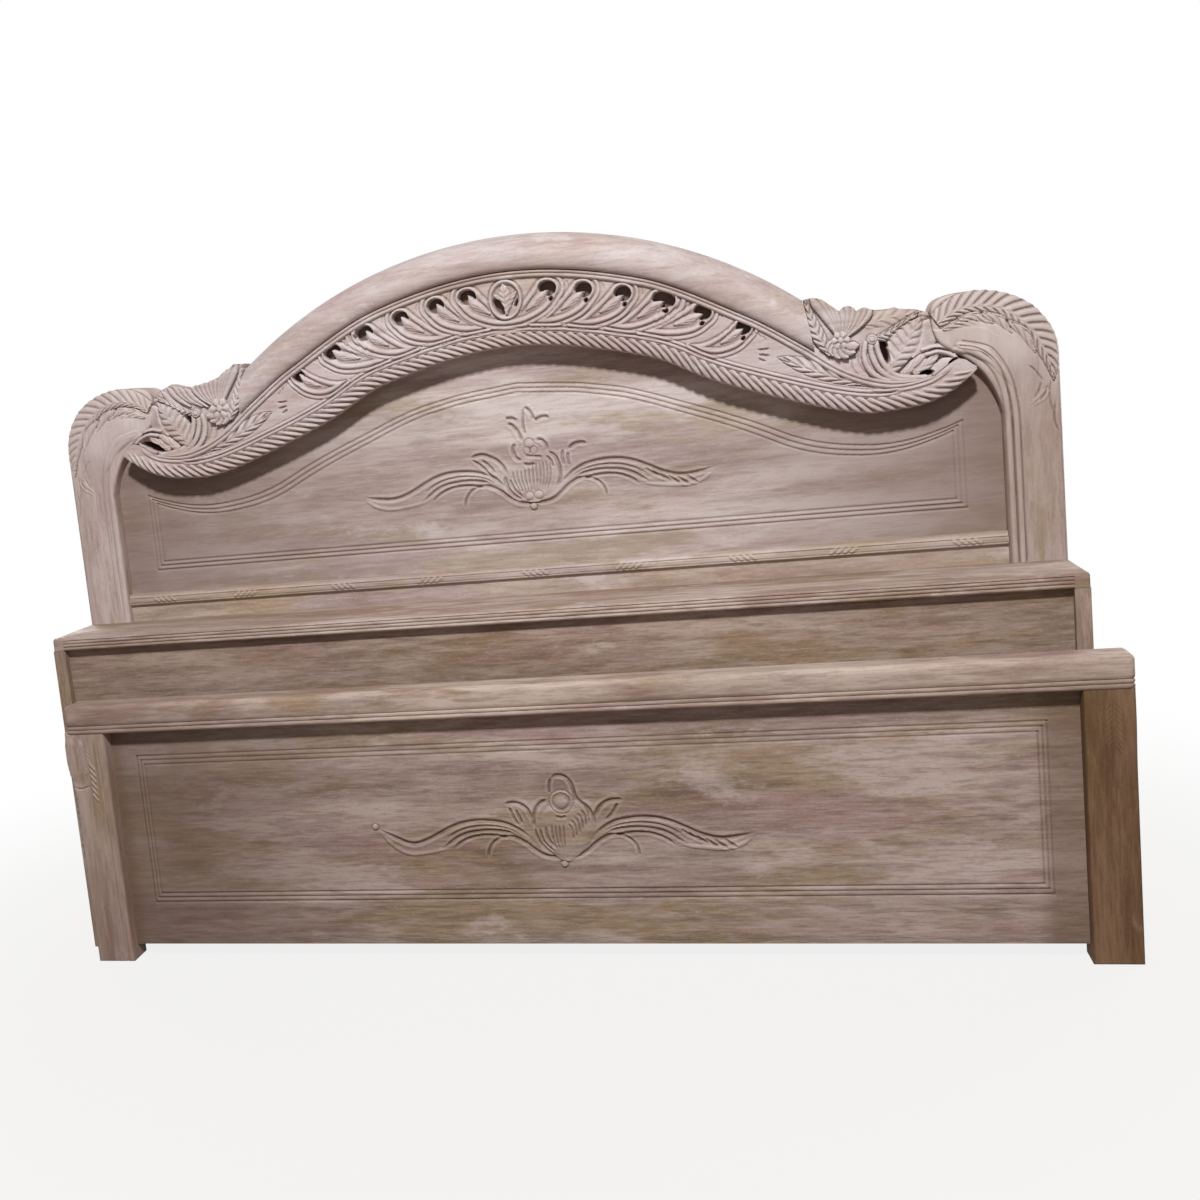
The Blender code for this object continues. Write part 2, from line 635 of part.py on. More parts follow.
def build_box(head):
    """Shelf box in front of the headboard: top, ends, front panel, rail, floor and cleats."""
    back = -FIT_GAP
    between = POST_INNER - FIT_GAP
    radius = BOX_CORNER_RADIUS
    right = [(HALF_WIDTH - radius + radius * math.sin(a), -BOX_DEPTH + radius - radius * math.cos(a))
             for a in spread(0.0, math.pi / 2, CURVE_STEPS // 2)]
    right += [(HALF_WIDTH, back), (between, back), (between, MIDDLE_RAIL_SETBACK - FIT_GAP)]
    loop = right + [(-x, y) for x, y in reversed(right)]
    level_plate("box_top", head, loop, BOX_TOP_HEIGHT - BOX_TOP_THICKNESS, BOX_TOP_HEIGHT, TEAK)

    inner = BOX_INNER - FIT_GAP
    rail_front = BOX_END_FRONT + BOX_RAIL_SETBACK
    rail_range = (rail_front, rail_front + BOX_RAIL_DEPTH, BOX_RAIL_BASE, BOX_RAIL_TOP)
    rail = stub_tenoned("box_bottom_rail", head, inner, BOX_TENON_LENGTH, *rail_range, TEAK)
    mortise = stub_tenoned("box_mortise", head, inner, BOX_TENON_LENGTH, *rail_range, None, FIT_GAP)

    side = BOX_INNER + BOX_GROOVE_DEPTH
    base = BOX_RAIL_TOP - HOUSING_DEPTH
    depth = (BOX_PANEL_FRONT, BOX_PANEL_BACK)
    board("box_front_panel", head, (-side, side), depth, (base, BOX_UNDER_TOP), TEAK)
    housing = board(
        "box_panel_housing",
        head,
        (-side - FIT_GAP, side + FIT_GAP),
        (BOX_PANEL_FRONT - FIT_GAP, BOX_PANEL_BACK + FIT_GAP),
        (base - FIT_GAP, BOX_UNDER_TOP + CUT_MARGIN),
    )
    cut(rail, housing)

    ends = []
    for name, x in (("box_end_left", (-HALF_WIDTH, -BOX_INNER)), ("box_end_right", (BOX_INNER, HALF_WIDTH))):
        end = board(name, head, x, (BOX_END_FRONT, back), (0.0, BOX_UNDER_TOP), TEAK)
        cut(end, housing, mortise)
        ends.append(end)

    behind = BOX_PANEL_BACK + FIT_GAP
    board("box_floor", head, (-inner, inner), (behind, back), (BOX_FLOOR_BASE, BOX_FLOOR_TOP), TEAK)
    board("box_floor_ledger", head, (-inner, inner), (back - BOX_CLEAT, back),
          (BOX_RAIL_TOP - BOX_CLEAT, BOX_RAIL_TOP), TEAK)
    cleat_z = (BOX_UNDER_TOP - BOX_CLEAT, BOX_UNDER_TOP)
    board("box_cleat_front", head, (-inner, inner), (behind, behind + BOX_CLEAT), cleat_z, TEAK)
    board("box_cleat_back", head, (-inner, inner), (back - BOX_CLEAT, back), cleat_z, TEAK)
    board(
        "box_divider",
        head,
        (-BOX_FLOOR_THICKNESS / 2, BOX_FLOOR_THICKNESS / 2),
        (behind, back),
        (BOX_FLOOR_TOP + FIT_GAP, cleat_z[0] - FIT_GAP),
        TEAK,
    )
    return ends


def foot_post_outline():
    """Outline of the right foot post: straight, with a carved knee that swells under the cap rail."""
    top = FOOT_RAIL_BASE - FIT_GAP
    knee = top - FOOT_KNEE_HEIGHT
    middle = (FOOT_POST_INNER + FOOT_POST_OUTER) / 2
    loop = [(FOOT_POST_INNER, 0.0), (FOOT_POST_OUTER, 0.0)]
    for share in spread(0.0, 1.0, CURVE_STEPS):
        swell = FOOT_KNEE_BULGE * math.sin(math.pi * share) ** 2
        loop.append((FOOT_POST_OUTER + swell, knee + FOOT_KNEE_HEIGHT * share))
    loop += [
        (middle + FOOT_TENON_WIDTH / 2, top),
        (middle + FOOT_TENON_WIDTH / 2, top + FOOT_TENON_HEIGHT),
        (middle - FOOT_TENON_WIDTH / 2, top + FOOT_TENON_HEIGHT),
        (middle - FOOT_TENON_WIDTH / 2, top),
        (FOOT_POST_INNER, top),
    ]
    return loop


def build_foot(foot):
    """Footboard: posts, cap rail, panel, bottom rail and back battens."""
    half = FOOT_POST_INNER - FIT_GAP
    low_range = (
        FOOT_LOW_RAIL_SETBACK,
        FOOT_LOW_RAIL_SETBACK + FOOT_LOW_RAIL_DEPTH,
        FOOT_LOW_RAIL_BASE,
        FOOT_LOW_RAIL_TOP,
    )
    low_rail = stub_tenoned("foot_bottom_rail", foot, half, TENON_LENGTH, *low_range, TEAK_DARK)
    mortise = stub_tenoned("foot_mortise", foot, half, TENON_LENGTH, *low_range, None, FIT_GAP)

    side = FOOT_POST_INNER + HOUSING_DEPTH
    depth = (FOOT_PANEL_SETBACK, FOOT_PANEL_BACK)
    board("foot_panel", foot, (-side, side), depth, (FOOT_PANEL_BASE, FOOT_PANEL_TOP), TEAK_DARK)
    housing = board(
        "foot_panel_housing",
        foot,
        (-side - FIT_GAP, side + FIT_GAP),
        (FOOT_PANEL_SETBACK - FIT_GAP, FOOT_PANEL_BACK + FIT_GAP),
        (FOOT_PANEL_BASE - FIT_GAP, FOOT_PANEL_TOP + FIT_GAP),
    )
    cut(low_rail, housing)

    rail = board(
        "foot_cap_rail",
        foot,
        (-HALF_WIDTH, HALF_WIDTH),
        (0.0, FOOT_RAIL_DEPTH),
        (FOOT_RAIL_BASE, FOOT_RAIL_TOP),
        TEAK_DARK,
        FOOT_RAIL_ROUNDING,
    )
    cut(rail, housing)
    middle = (FOOT_POST_INNER + FOOT_POST_OUTER) / 2
    reach = FOOT_TENON_WIDTH / 2 + FIT_GAP
    posts = []
    right = foot_post_outline()
    for name, sign, loop in (("foot_post_left", -1, mirrored(right)), ("foot_post_right", 1, right)):
        post = upright_plate(name, foot, [loop], FOOT_POST_SETBACK, FOOT_POST_BACK, TEAK_DARK)
        cut(post, housing, mortise)
        posts.append(post)
        socket = board(
            name + "_socket",
            foot,
            (sign * middle - reach, sign * middle + reach),
            (FOOT_POST_SETBACK - FIT_GAP, FOOT_POST_BACK + FIT_GAP),
            (FOOT_RAIL_BASE - CUT_MARGIN, FOOT_RAIL_BASE + FOOT_TENON_HEIGHT),
        )
        cut(rail, socket)

    back = FOOT_PANEL_BACK + FIT_GAP
    for label, x in (("left", -FOOT_BATTEN_SPACING), ("right", FOOT_BATTEN_SPACING)):
        board(
            "foot_batten_" + label,
            foot,
            (x - FOOT_BATTEN_WIDTH / 2, x + FOOT_BATTEN_WIDTH / 2),
            (back, back + FOOT_BATTEN_THICKNESS),
            (FOOT_LOW_RAIL_TOP + FIT_GAP, FOOT_RAIL_BASE - FIT_GAP),
            TEAK_DARK,
        )
    return posts


def stud_profile(grow):
    """Profile of a headed stud whose plate face is at height 0, or of its clear hole."""
    top = STUD_NECK + STUD_HEAD_HEIGHT
    return (
        (0.0, top),
        (STUD_HEAD_RADIUS, top),
        (STUD_HEAD_RADIUS, STUD_NECK),
        (STUD_RADIUS + grow, STUD_NECK),
        (STUD_RADIUS + grow, -PLATE_THICKNESS - STUD_SHANK - grow),
        (0.0, -PLATE_THICKNESS - STUD_SHANK - grow),
    )


def screw_profile(grow):
    """Profile of a countersunk screw whose head is level with height 0, or of its clear hole."""
    sink = SCREW_HEAD_RADIUS - SCREW_RADIUS
    return (
        (0.0, -FIT_GAP + grow * 2),
        (SCREW_HEAD_RADIUS + grow, -FIT_GAP + grow * 2),
        (SCREW_HEAD_RADIUS + grow, -FIT_GAP - grow),
        (SCREW_RADIUS + grow, -FIT_GAP - sink - grow),
        (SCREW_RADIUS + grow, -SCREW_LENGTH - grow),
        (0.0, -SCREW_LENGTH - grow),
    )


def build_fittings(unit, label, bodies, face, outward):
    """Let a steel plate with two studs and two screws into each body's end-rail face."""
    turn = math.pi / 2 if outward < 0 else -math.pi / 2
    for side, sign, body in zip(("left", "right"), (-1, 1), bodies):
        x = sign * PLATE_X
        tag = f"{label}_{side}"
        inside = face - outward * PLATE_THICKNESS
        plate_y = (min(face, inside), max(face, inside))
        reach_x = (x - PLATE_WIDTH / 2, x + PLATE_WIDTH / 2)
        reach_z = (FITTING_HEIGHT - PLATE_LENGTH / 2, FITTING_HEIGHT + PLATE_LENGTH / 2)
        plate = board("rail_plate_" + tag, unit, reach_x, plate_y, reach_z, STEEL)
        deep = inside - outward * FIT_GAP
        open_end = face + outward * CUT_MARGIN
        recess = board(
            "plate_recess_" + tag,
            unit,
            (reach_x[0] - FIT_GAP, reach_x[1] + FIT_GAP),
            (min(deep, open_end), max(deep, open_end)),
            (reach_z[0] - FIT_GAP, reach_z[1] + FIT_GAP),
        )
        cut(body, recess)
        for place_name, half_gap in (("low", -0.5), ("high", 0.5)):
            stud_at = (x, face, FITTING_HEIGHT + half_gap * STUD_SPACING)
            screw_at = (x, face, FITTING_HEIGHT + half_gap * SCREW_SPACING)
            name = f"{tag}_{place_name}"
            turned("rail_stud_" + name, unit, stud_profile(0.0), stud_at, turn, STEEL)
            turned("plate_screw_" + name, unit, screw_profile(0.0), screw_at, turn, STEEL)
            stud_hole = turned("stud_hole_" + name, unit, stud_profile(FIT_GAP), stud_at, turn)
            screw_hole = turned("screw_hole_" + name, unit, screw_profile(FIT_GAP), screw_at, turn)
            cut(plate, stud_hole, screw_hole)
            cut(body, stud_hole, screw_hole)


clear_scene()
PARTS = add_collection("carved_bed_ends")
CUTTERS = add_collection("carved_bed_cutters")
TEAK = add_material("raw_teak", (0.42, 0.32, 0.26), 0.72, 0.0)
TEAK_DARK = add_material("raw_teak_dark", (0.27, 0.19, 0.145), 0.70, 0.0)
STEEL = add_material("fitting_steel", (0.46, 0.46, 0.45), 0.42, 1.0)
HEAD = add_unit("head_unit", -STANCE_SHIFT / 2, HEAD_FACE_Y)
FOOT = add_unit("foot_unit", STANCE_SHIFT / 2, FOOT_FACE_Y)
build_crest(HEAD, build_head_frame(HEAD))
build_fittings(HEAD, "head", build_box(HEAD), BOX_END_FRONT, -1)
build_fittings(FOOT, "foot", build_foot(FOOT), FOOT_POST_BACK, 1)
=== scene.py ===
"""Carved wooden bed ends, dressed: bare teak with a pierced crest, lotus panels and beaded edges.

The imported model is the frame. Each carved piece replaces the plain solid that it stands for, in metres and
in the same frame. The plain boards and the steel fittings keep their solids and get a finish.
"""

import json
import logging
import math
from dataclasses import dataclass, replace
from enum import Enum
from typing import Any, Callable, NamedTuple, Sequence

import bmesh
import bpy
import numpy as np
from mathutils import Matrix, Vector
from mathutils.geometry import delaunay_2d_cdt

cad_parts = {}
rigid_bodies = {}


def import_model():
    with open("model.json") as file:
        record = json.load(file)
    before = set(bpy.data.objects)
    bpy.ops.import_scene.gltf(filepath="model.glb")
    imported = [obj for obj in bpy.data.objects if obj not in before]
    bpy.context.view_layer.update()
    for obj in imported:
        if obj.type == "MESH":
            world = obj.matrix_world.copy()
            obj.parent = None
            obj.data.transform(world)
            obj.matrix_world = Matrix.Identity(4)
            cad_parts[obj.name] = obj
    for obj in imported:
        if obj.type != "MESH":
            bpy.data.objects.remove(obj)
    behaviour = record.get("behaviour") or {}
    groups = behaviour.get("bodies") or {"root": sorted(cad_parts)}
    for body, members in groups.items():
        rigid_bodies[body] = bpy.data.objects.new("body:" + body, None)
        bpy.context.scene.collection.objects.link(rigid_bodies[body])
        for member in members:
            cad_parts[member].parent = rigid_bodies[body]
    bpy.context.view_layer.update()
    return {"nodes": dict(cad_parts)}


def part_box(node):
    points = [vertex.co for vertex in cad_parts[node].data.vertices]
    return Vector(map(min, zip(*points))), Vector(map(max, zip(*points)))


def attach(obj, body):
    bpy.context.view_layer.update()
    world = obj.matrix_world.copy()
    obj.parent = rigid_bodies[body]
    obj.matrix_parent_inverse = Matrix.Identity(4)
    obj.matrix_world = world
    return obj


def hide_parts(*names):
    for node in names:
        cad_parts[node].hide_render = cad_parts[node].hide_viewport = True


LOG = logging.getLogger("bed_ends")

Pair = tuple[float, float]
Path = Sequence[Pair]
Triple = tuple[float, float, float]
Colour = tuple[float, float, float, float]


# Shader building


class Shade:
    """A shader value that can be used in sums; each operation adds a Math node."""

    def __init__(self, tree: "ShadeTree", socket: bpy.types.NodeSocket) -> None:
        """Wrap a socket of a tree."""
        self.tree = tree
        self.socket = socket

    def _math(self, operation: str, first: Any, second: Any) -> "Shade":
        """Add a Math node on two values or shades."""
        return self.tree.node("ShaderNodeMath", {"operation": operation}, {0: first, 1: second})

    def __add__(self, other: Any) -> "Shade":
        """This value plus another."""
        return self._math("ADD", self, other)

    __radd__ = __add__

    def __mul__(self, other: Any) -> "Shade":
        """This value times another."""
        return self._math("MULTIPLY", self, other)

    __rmul__ = __mul__

    def __sub__(self, other: Any) -> "Shade":
        """This value less another."""
        return self._math("SUBTRACT", self, other)

    def __rsub__(self, other: Any) -> "Shade":
        """Another value less this one."""
        return self._math("SUBTRACT", other, self)

    def step(self, low: float, high: float) -> "Shade":
        """A soft step from 0 at low to 1 at high."""
        values = {"Value": self, "From Min": low, "From Max": high}
        return self.tree.node("ShaderNodeMapRange", {"interpolation_type": "SMOOTHSTEP"}, values)


class ShadeTree:
    """The node tree of a material or a world, emptied and ready for nodes."""

    def __init__(self, owner: bpy.types.Material | bpy.types.World) -> None:
        """Empty the tree of a material or a world."""
        owner.use_nodes = True
        self.owner = owner
        self.nodes = owner.node_tree.nodes
        self.links = owner.node_tree.links
        self.nodes.clear()

    def node(self, kind: str, settings: dict[str, Any], values: dict[Any, Any], out: Any = 0) -> Shade:
        """Add a node.

        Args:
            kind: Type of the node.
            settings: Its properties, set first.
            values: Values or shades for its input sockets, by name or number.
            out: Name or number of the output to return.

        Returns:
            The output, wrapped; an output node has none.
        """
        made = self.nodes.new(kind)
        for key, value in settings.items():
            setattr(made, key, value)
        for key, value in values.items():
            if isinstance(value, Shade):
                self.links.new(value.socket, made.inputs[key])
            else:
                made.inputs[key].default_value = value
        return Shade(self, made.outputs[out] if made.outputs else None)

    def blend(self, share: Any, first: Any, second: Any) -> Shade:
        """Mix two colours.

        Args:
            share: How much of the second colour shows.
            first: Colour or shade.
            second: Colour or shade.

        Returns:
            The mixed colour.
        """
        return self.node("ShaderNodeMix", {"data_type": "RGBA"}, {0: share, 6: first, 7: second}, 2)

    def noise(self, place: Shade, scale: float, detail: float, roughness: float = 0.5) -> Shade:
        """Smooth noise over a place.

        Args:
            place: Coordinates.
            scale: Spots per metre.
            detail: How many finer layers it has.
            roughness: How strong the finer layers are.

        Returns:
            A value about 0.5.
        """
        values = {"Vector": place, "Scale": scale, "Detail": detail, "Roughness": roughness}
        return self.node("ShaderNodeTexNoise", {}, values)

    def finish(self, shader: Shade) -> bpy.types.Material | bpy.types.World:
        """Link a shader to the output and hand over the tree's owner."""
        kind = "World" if isinstance(self.owner, bpy.types.World) else "Material"
        self.node(f"ShaderNodeOutput{kind}", {}, {"Surface": shader})
        return self.owner


def tone(red: int, green: int, blue: int) -> Colour:
    """Turn a colour written from 0 to 255 into shader values.

    Args:
        red: Red share.
        green: Green share.
        blue: Blue share.

    Returns:
        The colour in linear values.
    """
    values = []
    for part in (red, green, blue):
        share = part / 255
        values.append(share / 12.92 if share <= 0.04045 else ((share + 0.055) / 1.055) ** 2.4)
    return (values[0], values[1], values[2], 1.0)


# Finishes

# Painted deep shade: the dark brown laid into deep cuts and pockets, where shade falls.
PAINTED_DEEP_SHADE = tone(82, 56, 43)
WHITE: Colour = (1.0, 1.0, 1.0, 1.0)
DUSK_RANGE: Pair = (0.15, 0.85)


class Grain(Enum):
    """Direction of a board's grain: the axis that it follows."""

    ACROSS = 0
    UPRIGHT = 2

    def stretch(self, share: float) -> Triple:
        """Scale of a pattern that is drawn out along the grain.

        Args:
            share: Scale along the grain; the other axes keep 1.

        Returns:
            The scale of each axis.
        """
        scale = [1.0, 1.0, 1.0]
        scale[self.value] = share
        return (scale[0], scale[1], scale[2])


@dataclass(frozen=True)
class TeakFinish:
    """Bare sanded teak with streaks, fine grain lines, tinted patches and pale filler smears, with painted
    shade in carved hollows and deep cuts and painted highlight on raised parts.
    """

    name: str
    slot: str
    pale: Colour
    middle: Colour
    dark: Colour
    olive: Colour
    mauve: Colour
    # Pale colour of the smears and pale grain, also used for painted highlight.
    filler_and_highlight: Colour
    grain: Grain = Grain.ACROSS
    shift: Triple = (0.0, 0.0, 0.0)
    filler_start: float = 0.58
    roughness: float = 0.7
    left_dusk: float = 0.0
    right_dusk: float = 0.0
    figure: float = 1.0
    carve_shade: float = 0.34
    crown_highlight: float = 0.0
    # Brown that a board turns towards at both ends, and how far.
    end_tone: Colour = tone(100, 78, 58)
    end_darkening: float = 0.0
    patch: float = 0.26

    def _place(self, tree: ShadeTree, share: float, offset: float) -> Shade:
        """Coordinates drawn out along the grain.

        Args:
            tree: The tree.
            share: Scale along the grain.
            offset: How far the pattern is moved from the finish's own place.

        Returns:
            The coordinates.
        """
        place = tree.node("ShaderNodeTexCoord", {}, {}, "Object")
        shift = tuple(part + offset for part in self.shift)
        values = {"Vector": place, "Location": shift, "Scale": self.grain.stretch(share)}
        return tree.node("ShaderNodeMapping", {}, values)

    def make(self) -> bpy.types.Material:
        """Build the finish.

        Returns:
            The material.
        """
        tree = ShadeTree(bpy.data.materials.new(self.name))
        broad = tree.noise(self._place(tree, 0.22, 5.3), 6.0, 5.0, 0.62)
        streak = tree.noise(self._place(tree, 0.08, 0.0), 26.0, 6.0, 0.66)
        dashes = tree.noise(self._place(tree, 0.12, 9.7), 80.0, 4.0, 0.62)
        lines = tree.noise(self._place(tree, 0.1, 4.4), 210.0, 3.0, 0.62)
        pores = tree.noise(self._place(tree, 0.05, 8.2), 900.0, 1.0)
        specks = tree.noise(self._place(tree, 0.45, 1.9), 380.0, 2.0)
        olive = tree.noise(self._place(tree, 0.22, 2.1), 9.0, 5.0, 0.66)
        mauve = tree.noise(self._place(tree, 0.22, 7.9), 8.0, 5.0, 0.66)
        blotch = tree.noise(self._place(tree, 0.45, 3.7), 11.0, 6.0, 0.66)
        board = tree.noise(self._place(tree, 0.16, 6.6), 9.0, 2.0, 0.45)
        smear = blotch.step(self.filler_start, self.filler_start + 0.08)
        place = tree.node("ShaderNodeTexCoord", {}, {}, "Object")
        x = tree.node("ShaderNodeSeparateXYZ", {}, {0: place}, "X")
        z = tree.node("ShaderNodeSeparateXYZ", {}, {0: place}, "Z")
        # Masks stored with each mesh: painted shade in hollows, and wear with painted highlight on raised
        # parts.
        hollow = tree.node("ShaderNodeAttribute", {"attribute_name": "hollow"}, {}, "Fac")
        worn = tree.node("ShaderNodeAttribute", {"attribute_name": "worn"}, {}, "Fac")
        layers = (
            (olive.step(0.5, 0.59) * 0.8, self.olive),
            (mauve.step(0.52, 0.61) * 0.8, self.mauve),
            ((1 - broad).step(0.53, 0.66) * 0.3, self.dark),
            (board.step(0.5, 0.55) * self.patch, self.dark),
            (streak.step(0.53, 0.63) * (0.55 * self.figure), self.dark),
            ((1 - streak).step(0.54, 0.64) * (0.42 * self.figure), self.filler_and_highlight),
            (dashes.step(0.53, 0.62) * (0.5 * self.figure), self.dark),
            ((1 - dashes).step(0.55, 0.65) * (0.38 * self.figure), self.filler_and_highlight),
            (smear * 0.6, self.filler_and_highlight),
            (lines.step(0.5, 0.62) * (0.42 * self.figure), self.dark),
            ((1 - lines).step(0.53, 0.65) * (0.32 * self.figure), self.filler_and_highlight),
            (specks.step(0.56, 0.76) * 0.25, self.dark),
            ((1 - specks).step(0.58, 0.78) * 0.3, self.filler_and_highlight),
            ((0 - x).step(*DUSK_RANGE) * self.left_dusk + x.step(*DUSK_RANGE) * self.right_dusk, self.dark),
            # Darker and browner towards both ends of the board.
            ((x * x).step(0.66, 0.72) * self.end_darkening, self.end_tone),
            # Painted highlight: paler towards the top, where more light falls.
            (z.step(0.88, 1.04) * self.crown_highlight, self.filler_and_highlight),
            # Wear and painted highlight: raised parts paler.
            (worn * 0.35, self.filler_and_highlight),
            # Painted shade in carved hollows.
            (hollow.step(0.0, 1.0) * self.carve_shade, self.dark),
            # Painted deep shade in deep cuts and pockets.
            (hollow.step(1.0, 2.0) * 0.8, PAINTED_DEEP_SHADE),
        )
        colour = tree.blend(broad.step(0.43, 0.57), self.middle, self.pale)
        for share, tint in layers:
            colour = tree.blend(share, colour, tint)
        rough = self.roughness + (lines - 0.5) * 0.25 + smear * 0.1
        height = lines * 0.55 + dashes * 0.3 - pores.step(0.58, 0.75) * 0.5
        bump = tree.node("ShaderNodeBump", {}, {"Strength": 0.4, "Distance": 0.0007, "Height": height})
        values = {"Base Color": colour, "Roughness": rough, "Normal": bump, "Specular IOR Level": 0.22}
        return tree.finish(tree.node("ShaderNodeBsdfPrincipled", {}, values))


@dataclass(frozen=True)
class SteelFinish:
    """Zinc-plated steel of the rail fittings, a little dull and spotted."""

    name: str
    slot: str
    bright: Colour
    dull: Colour

    def make(self) -> bpy.types.Material:
        """Build the finish.

        Returns:
            The material.
        """
        tree = ShadeTree(bpy.data.materials.new(self.name))
        place = tree.node("ShaderNodeTexCoord", {}, {}, "Object")
        spots = tree.noise(place, 180.0, 4.0, 0.6)
        brush = tree.noise(place, 900.0, 2.0)
        colour = tree.blend(spots.step(0.38, 0.66), self.bright, self.dull)
        rough = 0.34 + spots.step(0.35, 0.7) * 0.22
        bump = tree.node("ShaderNodeBump", {}, {"Strength": 0.15, "Distance": 0.0002, "Height": brush})
        values = {"Base Color": colour, "Metallic": 1.0, "Roughness": rough, "Normal": bump}
        return tree.finish(tree.node("ShaderNodeBsdfPrincipled", {}, values))


HEAD_TEAK = TeakFinish(
    "head_teak",
    "raw_teak",
    pale=tone(204, 191, 187),
    middle=tone(187, 170, 164),
    dark=tone(122, 101, 92),
    olive=tone(164, 148, 124),
    mauve=tone(176, 154, 154),
    filler_and_highlight=tone(208, 197, 195),
    left_dusk=0.76,
    right_dusk=0.82,
    figure=0.48,
)
HEAD_TEAK_UPRIGHT = replace(
    HEAD_TEAK,
    name="head_teak_upright",
    grain=Grain.UPRIGHT,
    dark=tone(122, 93, 72),
    shift=(3.1, 1.7, 0.4),
    left_dusk=0.16,
    right_dusk=0.43,
    carve_shade=0.4,
    # Painted highlight on the posts' upper curls.
    crown_highlight=0.5,
)
CREST_TEAK = replace(
    HEAD_TEAK,
    name="crest_teak",
    left_dusk=0.0,
    right_dusk=0.0,
    pale=tone(197, 186, 184),
    middle=tone(186, 169, 165),
    dark=tone(132, 107, 98),
    olive=tone(184, 167, 155),
    mauve=tone(186, 165, 163),
    filler_and_highlight=tone(212, 204, 205),
    shift=(0.6, 2.3, 4.1),
    figure=0.36,
    carve_shade=0.31,
    patch=0.06,
)
LEDGE_TEAK = replace(
    HEAD_TEAK,
    name="ledge_teak",
    pale=tone(190, 172, 160),
    middle=tone(174, 154, 140),
    olive=tone(168, 148, 118),
    shift=(1.9, 3.7, 0.3),
    left_dusk=0.0,
    right_dusk=0.22,
)
BOX_TEAK = TeakFinish(
    "box_teak",
    "raw_teak",
    pale=tone(166, 147, 134),
    middle=tone(146, 125, 112),
    dark=tone(98, 78, 66),
    olive=tone(138, 114, 86),
    mauve=tone(146, 120, 110),
    filler_and_highlight=tone(184, 167, 156),
    shift=(1.3, 0.2, 2.9),
    left_dusk=0.14,
    filler_start=0.61,
    figure=0.68,
)
BOX_TEAK_UPRIGHT = replace(BOX_TEAK, name="box_teak_upright", grain=Grain.UPRIGHT, shift=(4.4, 2.6, 0.9))
BOX_TOP_TEAK = replace(
    BOX_TEAK,
    name="box_top_teak",
    pale=tone(184, 166, 156),
    middle=tone(164, 144, 133),
    dark=tone(116, 95, 84),
    filler_and_highlight=tone(198, 182, 174),
)
FOOT_TEAK = TeakFinish(
    "foot_teak",
    "raw_teak_dark",
    pale=tone(180, 162, 153),
    middle=tone(160, 139, 129),
    dark=tone(92, 72, 62),
    olive=tone(141, 119, 90),
    mauve=tone(150, 123, 118),
    filler_and_highlight=tone(188, 172, 166),
    shift=(2.2, 4.5, 1.1),
    filler_start=0.6,
    left_dusk=0.7,
    figure=0.63,
    # Darker and browner towards the panel's ends, beside the posts.
    end_darkening=0.56,
)
FOOT_RAIL_TEAK = replace(
    FOOT_TEAK,
    name="foot_rail_teak",
    pale=tone(190, 171, 160),
    middle=tone(173, 152, 140),
    dark=tone(114, 91, 80),
    olive=tone(152, 128, 98),
    mauve=tone(156, 128, 120),
    filler_and_highlight=tone(194, 178, 168),
    shift=(0.9, 3.3, 2.4),
    left_dusk=0.32,
    end_darkening=0.0,
)
FOOT_TEAK_UPRIGHT = replace(
    FOOT_RAIL_TEAK,
    name="foot_teak_upright",
    grain=Grain.UPRIGHT,
    shift=(2.9, 0.8, 3.6),
)
FOOT_TEAK_BROWN = replace(
    FOOT_TEAK_UPRIGHT,
    name="foot_teak_brown",
    pale=tone(126, 97, 73),
    middle=tone(107, 79, 56),
    dark=tone(72, 49, 33),
    olive=tone(106, 82, 52),
    mauve=tone(108, 77, 58),
    filler_and_highlight=tone(140, 113, 90),
)
FITTING_STEEL = SteelFinish("zinc_steel", "fitting_steel", tone(132, 128, 121), tone(96, 91, 85))


class FinishShelf:
    """Makes each finish's material once."""

    def __init__(self) -> None:
        """Start with an empty shelf."""
        self._made: dict[str, bpy.types.Material] = {}

    def material(self, finish: TeakFinish | SteelFinish) -> bpy.types.Material:
        """The material of a finish, made on first use."""
        if finish.name not in self._made:
            self._made[finish.name] = finish.make()
        return self._made[finish.name]


# Lines


def smooth_line(points: Sequence[Sequence[float]], steps: int = 8) -> list[tuple[float, ...]]:
    """Draw a smooth line through points.

    Args:
        points: Points to pass through, with any number of values each.
        steps: Steps between two points.

    Returns:
        The line's points, ends included.
    """
    known = np.array(points, float)
    padded = np.vstack([2 * known[0] - known[1], known, 2 * known[-1] - known[-2]])
    line = []
    for a, b, c, d in zip(padded, padded[1:], padded[2:], padded[3:]):
        for step in range(steps):
            t = step / steps
            bend = 2 * b + (c - a) * t + (2 * a - 5 * b + 4 * c - d) * t * t + (3 * b - a - 3 * c + d) * t**3
            line.append(tuple(bend / 2))
    line.append(tuple(known[-1]))
    return line


def even_steps(loop: Path, spacing: float) -> np.ndarray:
    """Split a closed outline's sides into steps no longer than a spacing.

    Args:
        loop: Corners of the outline.
        spacing: Longest step.

    Returns:
        The points in order.
    """
    points = []
    corners = np.array(loop, float)
    for start, end in zip(corners, np.roll(corners, -1, 0)):
        count = max(1, math.ceil(np.linalg.norm(end - start) / spacing))
        points += [start + (end - start) * step / count for step in range(count)]
    return np.array(points)


class Nearness(NamedTuple):
    """How points lie to a line: distance, share of its length and side, 1 left of it and -1 right of it."""

    distance: np.ndarray
    along: np.ndarray
    side: np.ndarray


